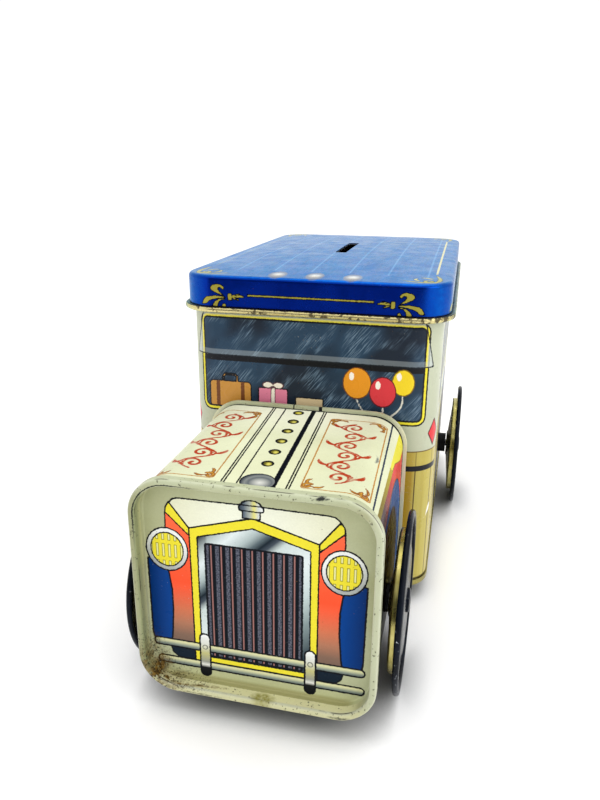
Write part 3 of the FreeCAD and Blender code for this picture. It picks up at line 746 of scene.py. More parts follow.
def bare_side(finish, context, colour):
    """Leaves the sheet's unprinted side as dull tin. Gives the colour and where the tin is bare."""
    bare = finish.raw("unprinted")
    dull = finish.ramp(finish.noise(5.0, 3.0), 0.3, 0.7)
    tin = finish.mix(dull, context.scene.tin_bus_inks.tin, linear(160, 158, 150))
    return finish.mix(bare, colour, tin), bare


def printed_nose(context):
    """The nose: radiator, lamps, mudguards and bumpers on a khaki ground, in a cream rim."""
    f, k, wear = Finish("nose_print"), context.scene.tin_bus_inks, context.scene.tin_bus_wear
    wide, y = f.axis("X"), f.axis("Y")
    x, z = f.math("SUBTRACT", wide, PRINT_SHIFT), f.axis("Z")
    m = f.math("ABSOLUTE", x)
    colour = f.mottle(22.0, k.khaki, linear(168, 170, 130), start=0.35, end=0.65)
    # Painted light on the lowest part of the sunk panel, and painted shade in the crease at its foot.
    colour = f.over(
        colour,
        (f.ramp(z, 13.0, 10.0, 0.0, 0.7), linear(192, 195, 146)),
        (f.ramp(z, 9.9, 8.9, 0.0, 0.6), linear(150, 142, 84)),
    )
    side = f.tones(
        f.ramp(z, 17.0, 58.0), (0.0, linear(98, 86, 78)), (0.13, k.umber), (0.22, linear(170, 115, 89)),
        (0.32, linear(201, 113, 80)), (0.42, linear(224, 100, 68)), (0.54, k.vermilion), (1.0, linear(255, 104, 66)),
    )
    colour = f.over(
        colour,
        ("panels", side, k.black, 0.42),
        ("mudguards", f.mix(f.ramp(m, 24.0, 29.5), k.navy, linear(0, 44, 106)), k.black, 0.5),
        ("tyres", linear(16, 30, 44), k.black),
        ("hood", f.mix(f.ramp(m, 6.0, 24.0), linear(232, 234, 214), linear(222, 222, 192)), k.black, 0.45),
        ("braces", k.yellow, k.black, 0.42),
    )
    slant = f.ramp(f.math("SUBTRACT", z, f.math("MULTIPLY", x, 0.95)), 8.0, 72.0)
    slant = f.math("ADD", slant, f.ramp(x, -12.4, -13.0, 0.0, 0.024))
    shell = f.tones(
        slant, (0.0, linear(44, 58, 68)), (0.16, linear(128, 144, 144)), (0.29, linear(188, 204, 202)),
        (0.44, k.chrome), (0.60, linear(196, 209, 206)),
        (0.64, k.gunmetal), (0.67, linear(18, 32, 42)), (0.70, linear(88, 102, 108)),
        (0.745, linear(168, 182, 182)), (0.82, k.chrome), (0.88, linear(178, 190, 188)),
        (0.95, linear(64, 70, 74)),
    )
    colour = f.fill(colour, "shell", shell)
    bar = f.math("FRACT", f.math("ADD", f.math("DIVIDE", x, 2.82), 0.234))
    speckle = f.ramp(f.noise(0.45, 1.0), 0.35, 0.65)
    bars = f.mix(f.between(bar, 0.57, 0.93, 0.04), linear(8, 16, 24), f.mix(speckle, k.plum, linear(50, 54, 66)))
    bars = f.mix(f.between(bar, 0.09, 0.21, 0.04), bars, k.salmon)
    colour = f.over(
        colour,
        ("grille", bars, k.black, 0.6),
        ("trim", k.yellow, k.black, 0.42),
    )
    chrome_bar = f.tones(
        f.math("FRACT", f.math("DIVIDE", f.math("SUBTRACT", z, 11.8), 5.82)),
        (0.0, linear(64, 74, 78)), (0.13, linear(136, 146, 134)), (0.24, linear(196, 198, 158)),
        (0.32, linear(218, 216, 168)), (0.41, linear(160, 158, 116)),
    )
    colour = f.fill(colour, "bumpers", chrome_bar, outline=k.black, width=0.5)
    rider = f.tones(
        f.ramp(z, 9.0, 23.3), (0.0, k.black), (0.23, linear(24, 26, 28)), (0.29, linear(222, 222, 214)),
        (0.36, linear(146, 148, 136)), (0.56, linear(188, 184, 124)),
        (0.78, linear(214, 216, 206)), (1.0, linear(236, 238, 236)),
    )
    colour = f.over(
        colour,
        ("riders", rider, k.black, 0.5),
        (f.line("bolts", 0.3), linear(120, 122, 112)),
    )
    column = f.math("FRACT", f.math("ADD", f.math("DIVIDE", f.math("SUBTRACT", m, 23.2), 1.73), 0.5))
    row = f.math("ABSOLUTE", f.math("SUBTRACT", z, 48.3))
    rows = f.math("MAXIMUM", f.ramp(row, 2.1, 1.98), f.between(row, 3.05, 4.9))
    lens = f.mix(f.both(f.between(column, 0.27, 0.73, 0.05), rows), k.yellow, linear(132, 124, 26))
    rows = f.math("MAXIMUM", f.ramp(row, 1.9, 1.78), f.between(row, 3.25, 4.9))
    lens = f.mix(f.both(f.between(column, 0.37, 0.63, 0.04), rows), lens, k.lemon)
    ring = f.mix(
        f.ramp(f.math("ADD", z, f.math("MULTIPLY", m, -0.4)), 34.0, 43.0), linear(168, 172, 168),
        linear(232, 234, 230)
    )
    colour = f.fill(colour, "lamps", ring)
    colour = f.fill(colour, "lamps", lens, grow=-1.3)
    colour = f.over(
        colour,
        (f.line("lamps", 0.42), k.black),
        (f.line("lamps", 0.36, -1.3), k.black),
    )
    cap = f.tones(
        f.ramp(x, -3.6, 3.0), (0.0, linear(36, 46, 60)), (0.22, linear(96, 108, 120)),
        (0.45, linear(172, 178, 168)), (0.62, linear(222, 216, 124)), (0.8, linear(206, 212, 212)),
        (1.0, linear(238, 240, 238)),
    )
    colour = f.over(
        colour,
        ("filler", cap, k.black, 0.42),
        (f.line("flange", 0.36), k.black),
    )
    rim = f.ramp(f.plate("rim"), 0.1, -0.1)
    edge = f.mottle(9.0, linear(176, 180, 146), linear(158, 158, 118), detail=3.0, start=0.35, end=0.65)
    # Painted light: the rim turns lighter towards the bottom.
    edge = f.mix(f.ramp(z, 14.0, 7.0, 0.0, 0.8), edge, linear(210, 207, 160))
    # Painted highlight on the bottom of the rim, behind its bead.
    sill_highlight = f.both(f.ramp(z, 11.0, 9.0, 0.0, 0.8), f.ramp(y, -103.9, -103.2))
    # In order: painted highlight behind the bottom bead, painted shade on the left side, painted light on the right
    # side, a painted highlight along the bead, and painted light along the top.
    edge = f.over(
        edge,
        (sill_highlight, linear(224, 221, 173)),
        (f.ramp(wide, -28.5, -31.0, 0.0, 0.8), linear(144, 146, 106)),
        (f.ramp(wide, 28.5, 31.0, 0.0, 0.6), linear(188, 194, 166)),
        (f.between(y, -104.2, -103.5, 0.3), linear(204, 206, 182)),
        (f.ramp(z, 68.5, 71.0, 0.0, 0.6), linear(188, 195, 163)),
    )
    # Painted shade on the left wall of the recess, darkest next to the bead.
    hollow_shade = f.both(f.ramp(f.plate("inset"), -1.25, -1.6), f.ramp(wide, -27.0, -30.0))
    edge = f.mix(hollow_shade, edge, f.mix(f.ramp(y, -102.8, -100.8), linear(140, 146, 108), linear(188, 189, 140)))
    colour = f.mix(rim, colour, edge)
    # A painted shadow line along the rim's crest at the upper left.
    crest = f.both(f.between(f.plate("inset"), -1.62, -1.30), f.ramp(f.math("SUBTRACT", z, x), 81.0, 90.0))
    colour = f.mix(crest, colour, linear(30, 34, 34))
    chips = f.both(rim, f.ramp(f.noise(0.8, 2.0), 0.65, 0.69, 0.0, 1.5 * wear.chips))
    colour = f.mix(chips, colour, linear(50, 48, 38))
    worn_edge = f.both(
        f.between(y, -103.95, -103.55, 0.1), f.ramp(f.noise(7.0, 4.0), 0.50, 0.60, 0.0, 1.6 * wear.chips)
    )
    colour = f.over(
        colour,
        (worn_edge, linear(58, 54, 40)),
        (f.both(f.inside("knocks", soft=0.15), f.ramp(f.noise(1.2, 3.0), 0.36, 0.50)), linear(52, 54, 52)),
        (f.both(f.inside("stain", soft=0.6), f.ramp(f.noise(1.2, 3.0), 0.3, 0.6, 0.3, 0.9)), linear(136, 130, 50)),
    )
    corroded = f.both(f.inside("rusty", soft=1.8), f.ramp(f.noise(1.5, 5.0), 0.36, 0.54, 0.2, 1.0))
    corroded = f.math(
        "MAXIMUM", corroded, f.both(f.inside("rusty_seam", soft=0.35), f.ramp(f.noise(1.1, 4.0), 0.36, 0.52))
    )
    colour = f.mix(
        corroded, colour, f.mottle(0.9, linear(74, 54, 24), linear(122, 94, 42), detail=3.0, start=0.4, end=0.6)
    )
    pitted = f.both(f.inside("rusty", 1.5, 2.5), f.ramp(f.noise(0.55, 2.0), 0.55, 0.61))
    colour = f.mix(pitted, colour, linear(40, 32, 20))
    colour = aged(f, context, colour)
    rough = f.ramp(f.noise(5.0, 3.0), 0.3, 0.7, 0.26, 0.40)
    return f.done(colour, rough, dents=0.10, specular=0.06)


def printed_bonnet(context):
    """The bonnet: cream above with black and gold lines, and banded flanks."""
    f, k = Finish("bonnet_print"), context.scene.tin_bus_inks
    y = f.axis("Y")
    colour = f.mottle(26.0, k.cream, linear(210, 212, 174))
    # Painted light: the cream turns lighter towards the back, next to the cab.
    colour = f.mix(f.ramp(y, -66.0, -46.0, 0.0, 0.8), colour, linear(250, 250, 226))
    across = f.math("ABSOLUTE", f.plate("across"))
    colour = f.mix(f.ramp(across, 10.0, 24.0, 0.0, 0.6), colour, linear(203, 206, 172))
    right = f.ramp(f.plate("across"), -0.1, 0.1)
    colour = f.over(
        colour,
        (f.both(f.inside("flourish", soft=0.1), f.ramp(f.noise(2.4, 2.0), 0.25, 0.5, 0.55, 1.0)), k.russet),
        (f.line("frames", 0.42), linear(178, 130, 66)),
        ("scrolls", linear(190, 138, 54), linear(138, 84, 40), 0.24),
    )
    for at in (8.05, 8.8):
        colour = f.mix(f.between(across, at - 0.22, at + 0.22), colour, k.black)
    colour = f.over(
        colour,
        (f.both(f.between(across, 4.45, 4.9), f.math("SUBTRACT", 1.0, right)), k.black),
        (f.both(f.between(across, 3.95, 5.4), right), k.black),
    )
    front = f.both(f.between(y, -101.45, -101.05), f.ramp(across, 8.0, 8.2))
    colour = f.mix(front, colour, linear(40, 42, 40))
    vent = f.mix(f.ramp(y, -52.0, -47.0), k.olive, linear(226, 210, 60))
    colour = f.over(
        colour,
        ("vents", f.mix(f.inside("vents", -0.7, 0.4), linear(70, 66, 34), vent), k.black, 0.6),
        # A painted highlight on each vent.
        (f.inside("vent_highlights", soft=0.3), linear(214, 204, 96)),
    )
    tone = f.tones(
        f.raw("cap_tone"),
        (0.0, linear(214, 214, 206)), (0.3, linear(168, 170, 164)), (0.6, linear(96, 102, 104)),
        (0.8, linear(128, 132, 130)), (1.0, linear(58, 64, 70)),
    )
    colour = f.fill(colour, "cap", tone, outline=k.black, width=0.35)
    # Painted shade: the flank, its mudguard and its yellow band darken towards the front wheel.
    front_shade = f.ramp(y, -68.0, -92.0)
    flank = f.mix(front_shade, linear(204, 62, 58), linear(70, 52, 54))
    flank = f.over(
        flank,
        ("mudguard", f.mix(front_shade, linear(4, 72, 138), linear(22, 32, 52)), k.black),
        ("arch", f.mottle(3.0, linear(24, 4, 4), linear(48, 12, 14), start=0.4, end=0.6)),
    )
    flank = f.mix(f.inside("flank", -1.7), f.mix(front_shade, linear(176, 160, 44), linear(120, 104, 36)), flank)
    flank = f.fill(flank, "panel_end", linear(216, 206, 60), outline=linear(120, 96, 30), width=0.25)
    colour = f.over(
        colour,
        ("flank", flank),
        (f.between(across, 30.4, 31.0), linear(44, 54, 74)),
        (f.inside("chipped", soft=0.2), linear(126, 130, 120)),
        (f.ramp(f.plate("back_line"), 0.0, -0.3), k.black),
    )
    colour = aged(f, context, colour)
    rough = f.ramp(f.noise(6.0, 3.0), 0.3, 0.7, 0.22, 0.36)
    return f.done(colour, rough, dents=0.12, specular=0.012)


def printed_back(context):
    """The bonnet's rear cap, cream as its upper side."""
    f, k = Finish("bonnet_back_print"), context.scene.tin_bus_inks
    x = f.axis("X")
    colour = f.mottle(12.0, linear(190, 194, 162), linear(172, 174, 138))
    # Painted light: the cap's sides turn lighter.
    colour = f.mix(f.ramp(f.math("ABSOLUTE", x), 26.0, 32.0), colour, linear(228, 226, 194))
    chips = f.ramp(f.noise(1.4, 2.0), 0.68, 0.72, 0.0, context.scene.tin_bus_wear.chips)
    over = f.math("MAXIMUM", f.between(x, 4.2, 5.3), f.between(x, -4.3, -3.9))
    colour = f.mix(f.both(over, f.ramp(f.axis("Z"), 70.0, 70.2)), colour, k.black)
    colour = aged(f, context, f.mix(chips, colour, k.rust))
    return f.done(colour, f.ramp(f.noise(4.0, 2.0), 0.3, 0.7, 0.28, 0.42), dents=0.08)


def printed_cab(context):
    """The cab: ivory above with framed windows, a tan band, a black line and planks below."""
    f, k = Finish("cab_print"), context.scene.tin_bus_inks
    z, sheet = f.axis("Z"), f.sheet()
    away = f.math("ABSOLUTE", f.math("MULTIPLY", f.node("SeparateXYZ", {0: sheet}), 1 / MM))
    colour = f.mottle(24.0, k.ivory, linear(182, 186, 160))
    glint = f.both(
        f.ramp(f.noise(0.38, 2.0, (14.0, 1.0, 1.0), (0.0, 0.0, 0.9), sheet), 0.46, 0.70),
        f.ramp(f.noise(7.0, 1.0, (1.6, 1.0, 1.0), (0.0, 0.0, 0.9), sheet), 0.48, 0.66),
    )
    depth = f.ramp(f.noise(14.0, 2.0, (1.6, 1.0, 1.0), (0.0, 0.0, 0.9), sheet), 0.40, 0.56)
    glass = f.mix(glint, f.mix(depth, linear(28, 38, 52), k.glass), k.glint)
    pane = f.fill(glass, "visor_bar", linear(16, 18, 24))
    pane = f.over(
        pane,
        ("suitcase", linear(196, 140, 62), k.black),
        ("straps", linear(112, 66, 34)),
        ("gift", linear(224, 130, 156), k.black),
        ("ribbon", linear(240, 232, 214), linear(90, 60, 66), 0.25),
        ("parcel", linear(214, 192, 150), k.black),
        ("strings", linear(214, 212, 200)),
        ("balloon_orange", linear(228, 148, 34), linear(110, 62, 20), 0.3),
        ("balloon_yellow", linear(238, 208, 40), linear(120, 92, 20), 0.3),
        ("balloon_red", linear(214, 58, 66), linear(90, 20, 28), 0.3),
        ("glints", linear(248, 240, 226)),
    )
    colour = f.fill(colour, "frames", k.yellow)
    colour = f.fill(colour, "frames", pane, grow=-1.35)
    colour = f.over(
        colour,
        (f.line("frames", 0.55), k.black),
        (f.line("frames", 0.6, -1.35), k.black),
        (f.both(f.inside("visor"), f.ramp(f.plate("frames"), -0.9, -0.1, 0.0, 0.6)), linear(196, 204, 200)),
    )
    hem = f.both(f.inside("visor"), f.ramp(z, 87.6, 87.4))
    colour = f.over(
        colour,
        (f.both(hem, 0.22), linear(190, 200, 202)),
        (f.line("visor", 0.4), linear(30, 36, 42)),
        ("lozenge", k.red, linear(70, 20, 24), 0.45),
    )
    plank = f.math("FRACT", f.math("DIVIDE", f.math("ADD", away, 2.5), 7.0))
    seam = f.math("ABSOLUTE", f.math("SUBTRACT", plank, 0.5))
    wood = f.mix(f.ramp(f.noise(2.0, 3.0, (1.0, 1.0, 16.0)), 0.3, 0.7), k.tan, linear(190, 178, 96))
    wood = f.over(
        wood,
        (f.ramp(plank, 0.5, 1.0, 0.0, 0.22), linear(156, 132, 54)),
        # Painted shade on the planks beside the bonnet, in ochre.
        (f.ramp(away, 36.2, 34.6, 0.0, 0.85), k.ochre),
        (f.ramp(seam, 0.036, 0.024), linear(84, 70, 36)),
    )
    colour = f.over(
        colour,
        (f.ramp(z, 57.0, 56.9), f.mix(0.5, wood, k.tan)),
        (f.ramp(z, 51.0, 50.9), wood),
        (f.between(z, 56.8, 57.2), linear(110, 90, 50)),
        (f.between(z, 50.0, 51.9), k.black),
        (f.ramp(z, 9.1, 8.7), linear(70, 64, 36)),
        (f.inside("bare", soft=0.15), linear(236, 236, 228)),
        ("mudguard", f.mix(f.ramp(z, 30.0, 60.0), k.navy, linear(20, 84, 158)), k.black, 0.5),
    )
    colour = f.fill(colour, "mudguard", f.mottle(3.0, k.black, linear(34, 26, 26), start=0.4, end=0.6), grow=-5.0)
    colour, bare = bare_side(f, context, aged(f, context, colour))
    rough = f.ramp(f.noise(6.0, 3.0), 0.3, 0.7, 0.24, 0.38)
    return f.done(colour, rough, f.ramp(bare, 0.0, 1.0, 0.0, 0.85), dents=0.12)


def roof_lacquer(context):
    """The roof: blue lacquer painted lighter on the top and towards the corners as sheen, gold ornament, and a gold
    rolled edge.
    """
    f, k, wear = Finish("roof_lacquer"), context.scene.tin_bus_inks, context.scene.tin_bus_wear
    x, y = f.axis("X"), f.axis("Y")
    sheen = f.raw("painted_sheen")
    deep = f.mottle(18.0, k.royal, linear(0, 35, 142), detail=3.0)
    mottle = f.math(
        "ADD", f.both(f.ramp(f.noise(1.0, 4.0), 0.32, 0.68), 0.65),
        f.both(f.ramp(f.noise(7.0, 3.0), 0.35, 0.65), 0.35)
    )
    brushed = f.ramp(f.noise(1.2, 3.0, (1.0, 9.0, 1.0)), 0.3, 0.7)
    bright = f.mix(brushed, linear(0, 100, 192), linear(0, 82, 170))
    # Painted sheen: lighter lacquer on the top and towards the corners, deeper blue in the skirt's middle.
    colour = f.mix(sheen, deep, bright)
    board = f.math("FRACT", f.math("ADD", f.math("DIVIDE", f.math("ADD", x, 1.9), 12.4), 0.5))
    top = f.both(f.inside("topside"), f.between(y, -28.0, 91.0, 1.0))
    colour = f.mix(f.both(top, f.between(board, 0.476, 0.524, 0.008)), colour, k.sky)
    # Painted shade and highlight on the lamps: dark at the front, white in the middle, fading into the blue behind,
    # with a painted brownish shade round the edge, for a domed look.
    lens = f.tones(
        f.ramp(y, -39.6, -29.4), (0.0, linear(84, 82, 84)), (0.28, linear(152, 138, 118)),
        (0.52, linear(214, 210, 202)),
        (0.72, linear(222, 224, 222)), (0.9, linear(120, 146, 184)), (1.0, linear(50, 100, 170)),
    )
    lens = f.mix(f.ramp(f.plate("lamps"), -2.3, -0.5, 0.0, 0.9), lens, linear(92, 104, 132))
    colour = f.mix(f.inside("lamps", soft=0.3), colour, lens)
    rail = f.both(f.both(top, f.between(f.math("ABSOLUTE", x), 37.5, 38.2)), f.between(y, -20.0, 83.0))
    rail = f.both(rail, f.ramp(x, -1.0, 1.0, 0.3, 1.0))
    gilded = f.math("MAXIMUM", f.inside("gilding"), rail)
    colour = f.over(
        colour,
        (f.line("gilding", 0.5), linear(4, 10, 34)),
        (gilded, f.mix(f.inside("topside"), k.gold, linear(214, 204, 150))),
    )
    curl = f.inside("curl", soft=0.12)
    rubbed = f.math("ADD", f.noise(1.7, 3.0), f.ramp(x, 5.0, 42.0, 0.0, 0.10))
    worn = f.both(curl, f.ramp(rubbed, 0.55, 0.63, 0.0, 0.4 + wear.chips))
    colour = f.over(
        colour,
        (curl, linear(214, 200, 142)),
        (worn, linear(58, 44, 26)),
        # A painted shade line in the crease between the skirt and its rolled edge.
        (f.line("curl", 0.4), linear(36, 30, 24)),
    )
    colour, bare = bare_side(f, context, aged(f, context, colour, linear(120, 150, 200)))
    covered = f.math("MAXIMUM", f.math("MAXIMUM", worn, f.inside("lamps")), f.both(gilded, 0.8))
    metal = f.math("MAXIMUM", f.ramp(covered, 0.0, 1.0, 0.78, 0.1), f.both(bare, 0.85))
    rough = f.ramp(f.noise(6.0, 3.0), 0.3, 0.7, 0.20, 0.32)
    f.put(f.shader.inputs["Specular Tint"], f.mix(mottle, (0.44, 0.87, 0.94), (0.92, 1.0, 1.0)))
    return f.done(colour, rough, metal, dents=0.12)


def gold_lacquer(context, name="gold_lacquer", light=None, dark=linear(180, 168, 92)):
    """Gold lacquer on tin, turned marks round the axle and dulled patches."""
    f, k = Finish(name), context.scene.tin_bus_inks
    dull = f.ramp(f.noise(6.0, 3.0), 0.35, 0.65)
    colour = f.mix(dull, light or k.lacquer, dark)
    colour = f.mix(f.ramp(f.noise(1.2, 2.0), 0.68, 0.72, 0.0, 0.6), colour, k.rust)
    rough = f.ramp(f.noise(2.4, 3.0, (30.0, 1.0, 1.0)), 0.3, 0.7, 0.22, 0.36)
    return f.done(aged(f, context, colour), rough, 0.9, dents=0.08)


def black_enamel(context):
    """Black enamel, rubbed through to bright tin in small specks."""
    f, k = Finish("black_enamel"), context.scene.tin_bus_inks
    colour = f.mottle(8.0, k.enamel, linear(18, 24, 36), detail=3.0)
    rubbed = f.both(f.ramp(f.noise(0.9, 2.0), 0.70, 0.74), f.ramp(f.noise(14.0, 2.0), 0.52, 0.62))
    colour = f.mix(rubbed, colour, linear(186, 192, 198))
    rough = f.ramp(f.noise(4.0, 3.0), 0.3, 0.7, 0.16, 0.32)
    return f.done(colour, rough, f.ramp(rubbed, 0.0, 1.0, 0.0, 0.6), dents=0.10, specular=0.08)


def bright_steel(context):
    """Drawn steel, brushed along the rod and spotted with rust."""
    f, k = Finish("bright_steel"), context.scene.tin_bus_inks
    colour = f.mix(f.ramp(f.noise(0.5, 2.0, (20.0, 1.0, 1.0)), 0.3, 0.7), linear(186, 186, 182), linear(150, 150, 148))
    colour = f.mix(f.ramp(f.noise(2.2, 3.0), 0.6, 0.68, 0.0, 0.8), colour, k.rust)
    return f.done(colour, f.ramp(f.noise(1.0, 2.0), 0.3, 0.7, 0.25, 0.5), 1.0, dents=0.03)


def black_bush(context):
    """Moulded black plastic."""
    f = Finish("black_bush")
    colour = f.mottle(1.5, linear(22, 22, 24), linear(40, 40, 42), detail=3.0)
    return f.done(colour, f.ramp(f.noise(0.6, 2.0), 0.3, 0.7, 0.42, 0.6), dents=0.04)


# ---------------------------------------------------------------- operators


class TINBUS_OT_roof_lid(bpy.types.Operator):
    """Presses the roof lid: a crowned top with the coin slot, a bent skirt and a rolled edge"""

    bl_idname = "tin_bus.roof_lid"
    bl_label = "Roof Lid"

    def execute(self, context):
        """The skirt's profile is carried round the lid, and rings run from its top edge in to the coin slot. The crown
        is its height times one less the square of the share of the way out, in X and in Y."""
        gauge, bend, crown, reach, height, radius, wall_curl, slot_length, slot_width = millimetres(
            context, "sheet_gauge", "lid_bend", "lid_crown", "lid_curl_reach", "lid_curl_height", "cab_radius",
            "cab_curl_reach", "slot_length", "slot_width",
        )
        low, high = cad_box("roof_lid")
        half_a, half_b = (high - low)[:2] / 2 - reach
        middle, foot, top = (low + high)[1] / 2, low[2], high[2] - crown
        wall_half = cad_box("cab_wall")[1][0] - wall_curl
        radius += half_a - wall_half
        core, normal, run = rounded_outline(
            half_a, half_b, radius, (1.6, 13.0, 0.3), (2.4, 13.0, 0.45), (1.6, 12.0, 0.5), 40
        )
        roll, inner_leg = (0.4 * reach, foot + height / 2), 6
        skirt = carried(core, normal, radius, np.concatenate([
            bow((-bend, top - bend), (bend, bend), 90, 0, 10),
            straight((0, top - bend), (0, foot + 0.9 * height), 28),
            bow(roll, (reach - roll[0], height / 2), 130, -150, 22),
            straight((-gauge, foot + 0.4 * height), (-gauge, top - bend), inner_leg),
            bow((-bend, top - bend), (bend - gauge, bend - gauge), 0, 90, inner_leg),
        ]))
        slot_radius = 0.4
        opening = np.array((slot_width, slot_length)) / 2 - slot_radius
        slot_edge = core / np.array((half_a - radius, half_b - radius)) * opening + slot_radius * normal
        above = np.concatenate([np.linspace(0.0, 0.6, 14), np.linspace(0.6, 1.0, 40)[1:-1]])
        under = np.linspace(1.0, 0.0, 12)[1:]
        grid = np.concatenate([
            drawn_in(skirt[:, 0], above, top, slot_edge), skirt, drawn_in(skirt[:, -1], under, top - gauge, slot_edge)
        ], axis=1)
        domed = np.clip(1 - (grid[..., :2] / (half_a, half_b)) ** 2, 0, 1).prod(axis=-1)
        grid[..., 2] += crown * domed * np.clip((grid[..., 2] - top + bend) / bend, 0, 1)
        corner_way = np.abs(run[:-1, None] - self.corner_middles(normal, run)).min(axis=1)
        press(
            "printed_roof_lid", upright(grid, middle), "lid", ["roof_lid"], roof_lacquer(context),
            plates=lambda points: roof_plates(points, spread(corner_way, grid), half_a, half_b, middle),
            unprinted=2 * inner_leg + len(under),
        )
        return {"FINISHED"}

    @staticmethod
    def corner_middles(normal, run):
        """Where along the outline the four corners' middles lie: where the normal points most evenly in X and Y."""
        turn = np.abs(np.abs(normal[:, 0]) - np.abs(normal[:, 1]))
        quadrant = (normal[:, 0] > 0) * 2 + (normal[:, 1] > 0)
        return run[[np.flatnonzero(quadrant == q)[np.argmin(turn[quadrant == q])] for q in range(4)]]


class TINBUS_OT_cab(bpy.types.Operator):
    """Wraps the cab's wall with its rolled top edge, and presses its sunk floor"""

    bl_idname = "tin_bus.cab"
    bl_label = "Cab"

    def execute(self, context):
        """The wall first, and then the floor that grips its foot."""
        self.wrap_wall(context)
        self.press_floor(context)
        return {"FINISHED"}

    @staticmethod
    def wrap_wall(context):
        """The wall's profile, from its foot up to the rolled edge and down inside, carried round the cab."""
        gauge, radius, reach, height = millimetres(
            context, "sheet_gauge", "cab_radius", "cab_curl_reach", "cab_curl_height"
        )
        low, high = cad_box("cab_wall")
        half_a, half_b = (high - low)[:2] / 2 - reach
        middle, foot, top = (low + high)[1] / 2, low[2], high[2]
        core, normal, run = rounded_outline(half_a, half_b, radius, 0.55, 1.0, 1.0, 22)
        belt, eaves = 56.0, 101.0
        roll = (0.4 * reach, top - height / 2)
        bare = column(-gauge, top - 0.5 * height, foot, 10)[1:]
        wall = np.concatenate([
            column(0.0, foot, belt, 42),
            straight((0, belt), (0, eaves), 84),
            straight((0, eaves - 0.4), (0, top - height), 4),
            bow(roll, (reach - roll[0], height / 2), -135, 150, 16),
            bare,
        ])
        grid = upright(carried(core, normal, radius, wall), middle)
        press(
            "printed_cab_wall", grid, "body", ["cab_wall"], printed_cab(context),
            plates=lambda points: cab_plates(points, spread(run[:-1], grid)), run=run, unprinted=len(bare),
        )

    @staticmethod
    def press_floor(context):
        """The floor's rim, folded round the wall's foot, carried round the cab and closed in above it."""
        gauge, radius, stand, face = millimetres(
            context, "sheet_gauge", "cab_radius", "floor_rim_stand", "floor_rim_face"
        )
        groove = cad_box("cab_wall")[0][2] - SLACK
        low, high = cad_box("cab_floor")
        half_a, half_b = (high - low)[:2] / 2
        radius += stand
        core, normal, _ = rounded_outline(half_a, half_b, radius, 4.0, 4.0, 4.0, 12)
        foot, lip, roof = low[2], low[2] + 2.2, high[2]
        inside, outside, seat = -stand - face, -stand + SLACK, -stand - gauge - SLACK
        rim = carried(core, normal, radius, np.concatenate([
            [(inside - 1.0, roof - gauge)],
            straight((inside, roof - gauge - 0.6), (inside, foot + 0.5), 3),
            bow((inside / 2, foot + 0.5), (-inside / 2, 0.5), 180, 360, 12),
            [(0.0, lip), (outside, lip), (outside, groove), (seat, groove), (seat, roof)],
        ]))
        press(
            "pressed_cab_floor", upright(closed_in(rim, roof - gauge, roof, 14), (low + high)[1] / 2), "body",
            ["cab_floor"],
            gold_lacquer(context, "floor_lacquer", linear(172, 162, 96), linear(146, 137, 78)), poles=True,
        )


class TINBUS_OT_bonnet(bpy.types.Operator):
    """Wraps the bonnet's wall, and presses its rear cap with the raised middle"""

    bl_idname = "tin_bus.bonnet"
    bl_label = "Bonnet"

    def execute(self, context):
        """The wall first, and then the cap that grips its rear end."""
        self.wrap_wall(context)
        self.press_cap(context)
        return {"FINISHED"}

    @staticmethod
    def wrap_wall(context):
        """The wall's outer and inner faces, carried round the bonnet and laid lengthwise."""
        gauge, radius, stand = millimetres(context, "sheet_gauge", "bonnet_radius", "rim_stand")
        low, high = cad_box("bonnet_wall")
        half_a, _, half_b = (high - low) / 2
        near, far, bend = low[1], high[1], radius - stand
        core, normal, run = rounded_outline(half_a, half_b, bend, 0.5, 1.0, 2.0, 26)
        wall = np.concatenate([column(0.0, near, far, 126), column(-gauge, far, near, 10)])
        grid = lengthwise(carried(core, normal, bend, wall), (low + high)[2] / 2)
        press(
            "printed_bonnet_wall", grid, "body", ["bonnet_wall"], printed_bonnet(context),
            plates=lambda points: bonnet_plates(points, spread(run[:-1], grid)),
        )

    @staticmethod
    def press_cap(context):
        """The cap's profile, from the raised middle over two bends and the rim and back inside, carried round."""
        gauge, radius, stand, rim_length, inset, rise = millimetres(
            context, "sheet_gauge", "bonnet_radius", "rim_stand", "back_rim_length", "plateau_inset", "plateau_rise"
        )
        middle = np.mean(cad_box("bonnet_wall"), axis=0)[2]
        low, high = cad_box("bonnet_back_panel")
        half_a, _, half_b = (high - low) / 2
        core, normal, _ = rounded_outline(half_a, half_b, radius, 2.0, 2.0, 2.0, 18)
        crest, face, near = high[1], high[1] - rise, high[1] - rise - rim_length
        bend, edge, outside = 0.8, 0.9, -stand + SLACK
        cap = carried(core, normal, radius, np.concatenate([
            bow((-inset - bend, crest - bend), (bend, bend), 90, 0, 6),
            bow((-inset + bend, face + bend), (bend, bend), 180, 270, 6),
            bow((-edge, face - edge), (edge, edge), 90, 0, 8),
            straight((0.0, face - edge), (0.0, near), 4),
            [(0.0, near), (outside, near), (outside, face - gauge), (-inset + 0.5, face - gauge)],
            [(-inset - gauge, crest - 1.0), (-inset - 1.1, crest - gauge)],
        ]))
        press(
            "pressed_bonnet_back", lengthwise(closed_in(cap, crest, crest - gauge, 12), middle), "body",
            ["bonnet_back_panel"], printed_back(context), poles=True,
        )


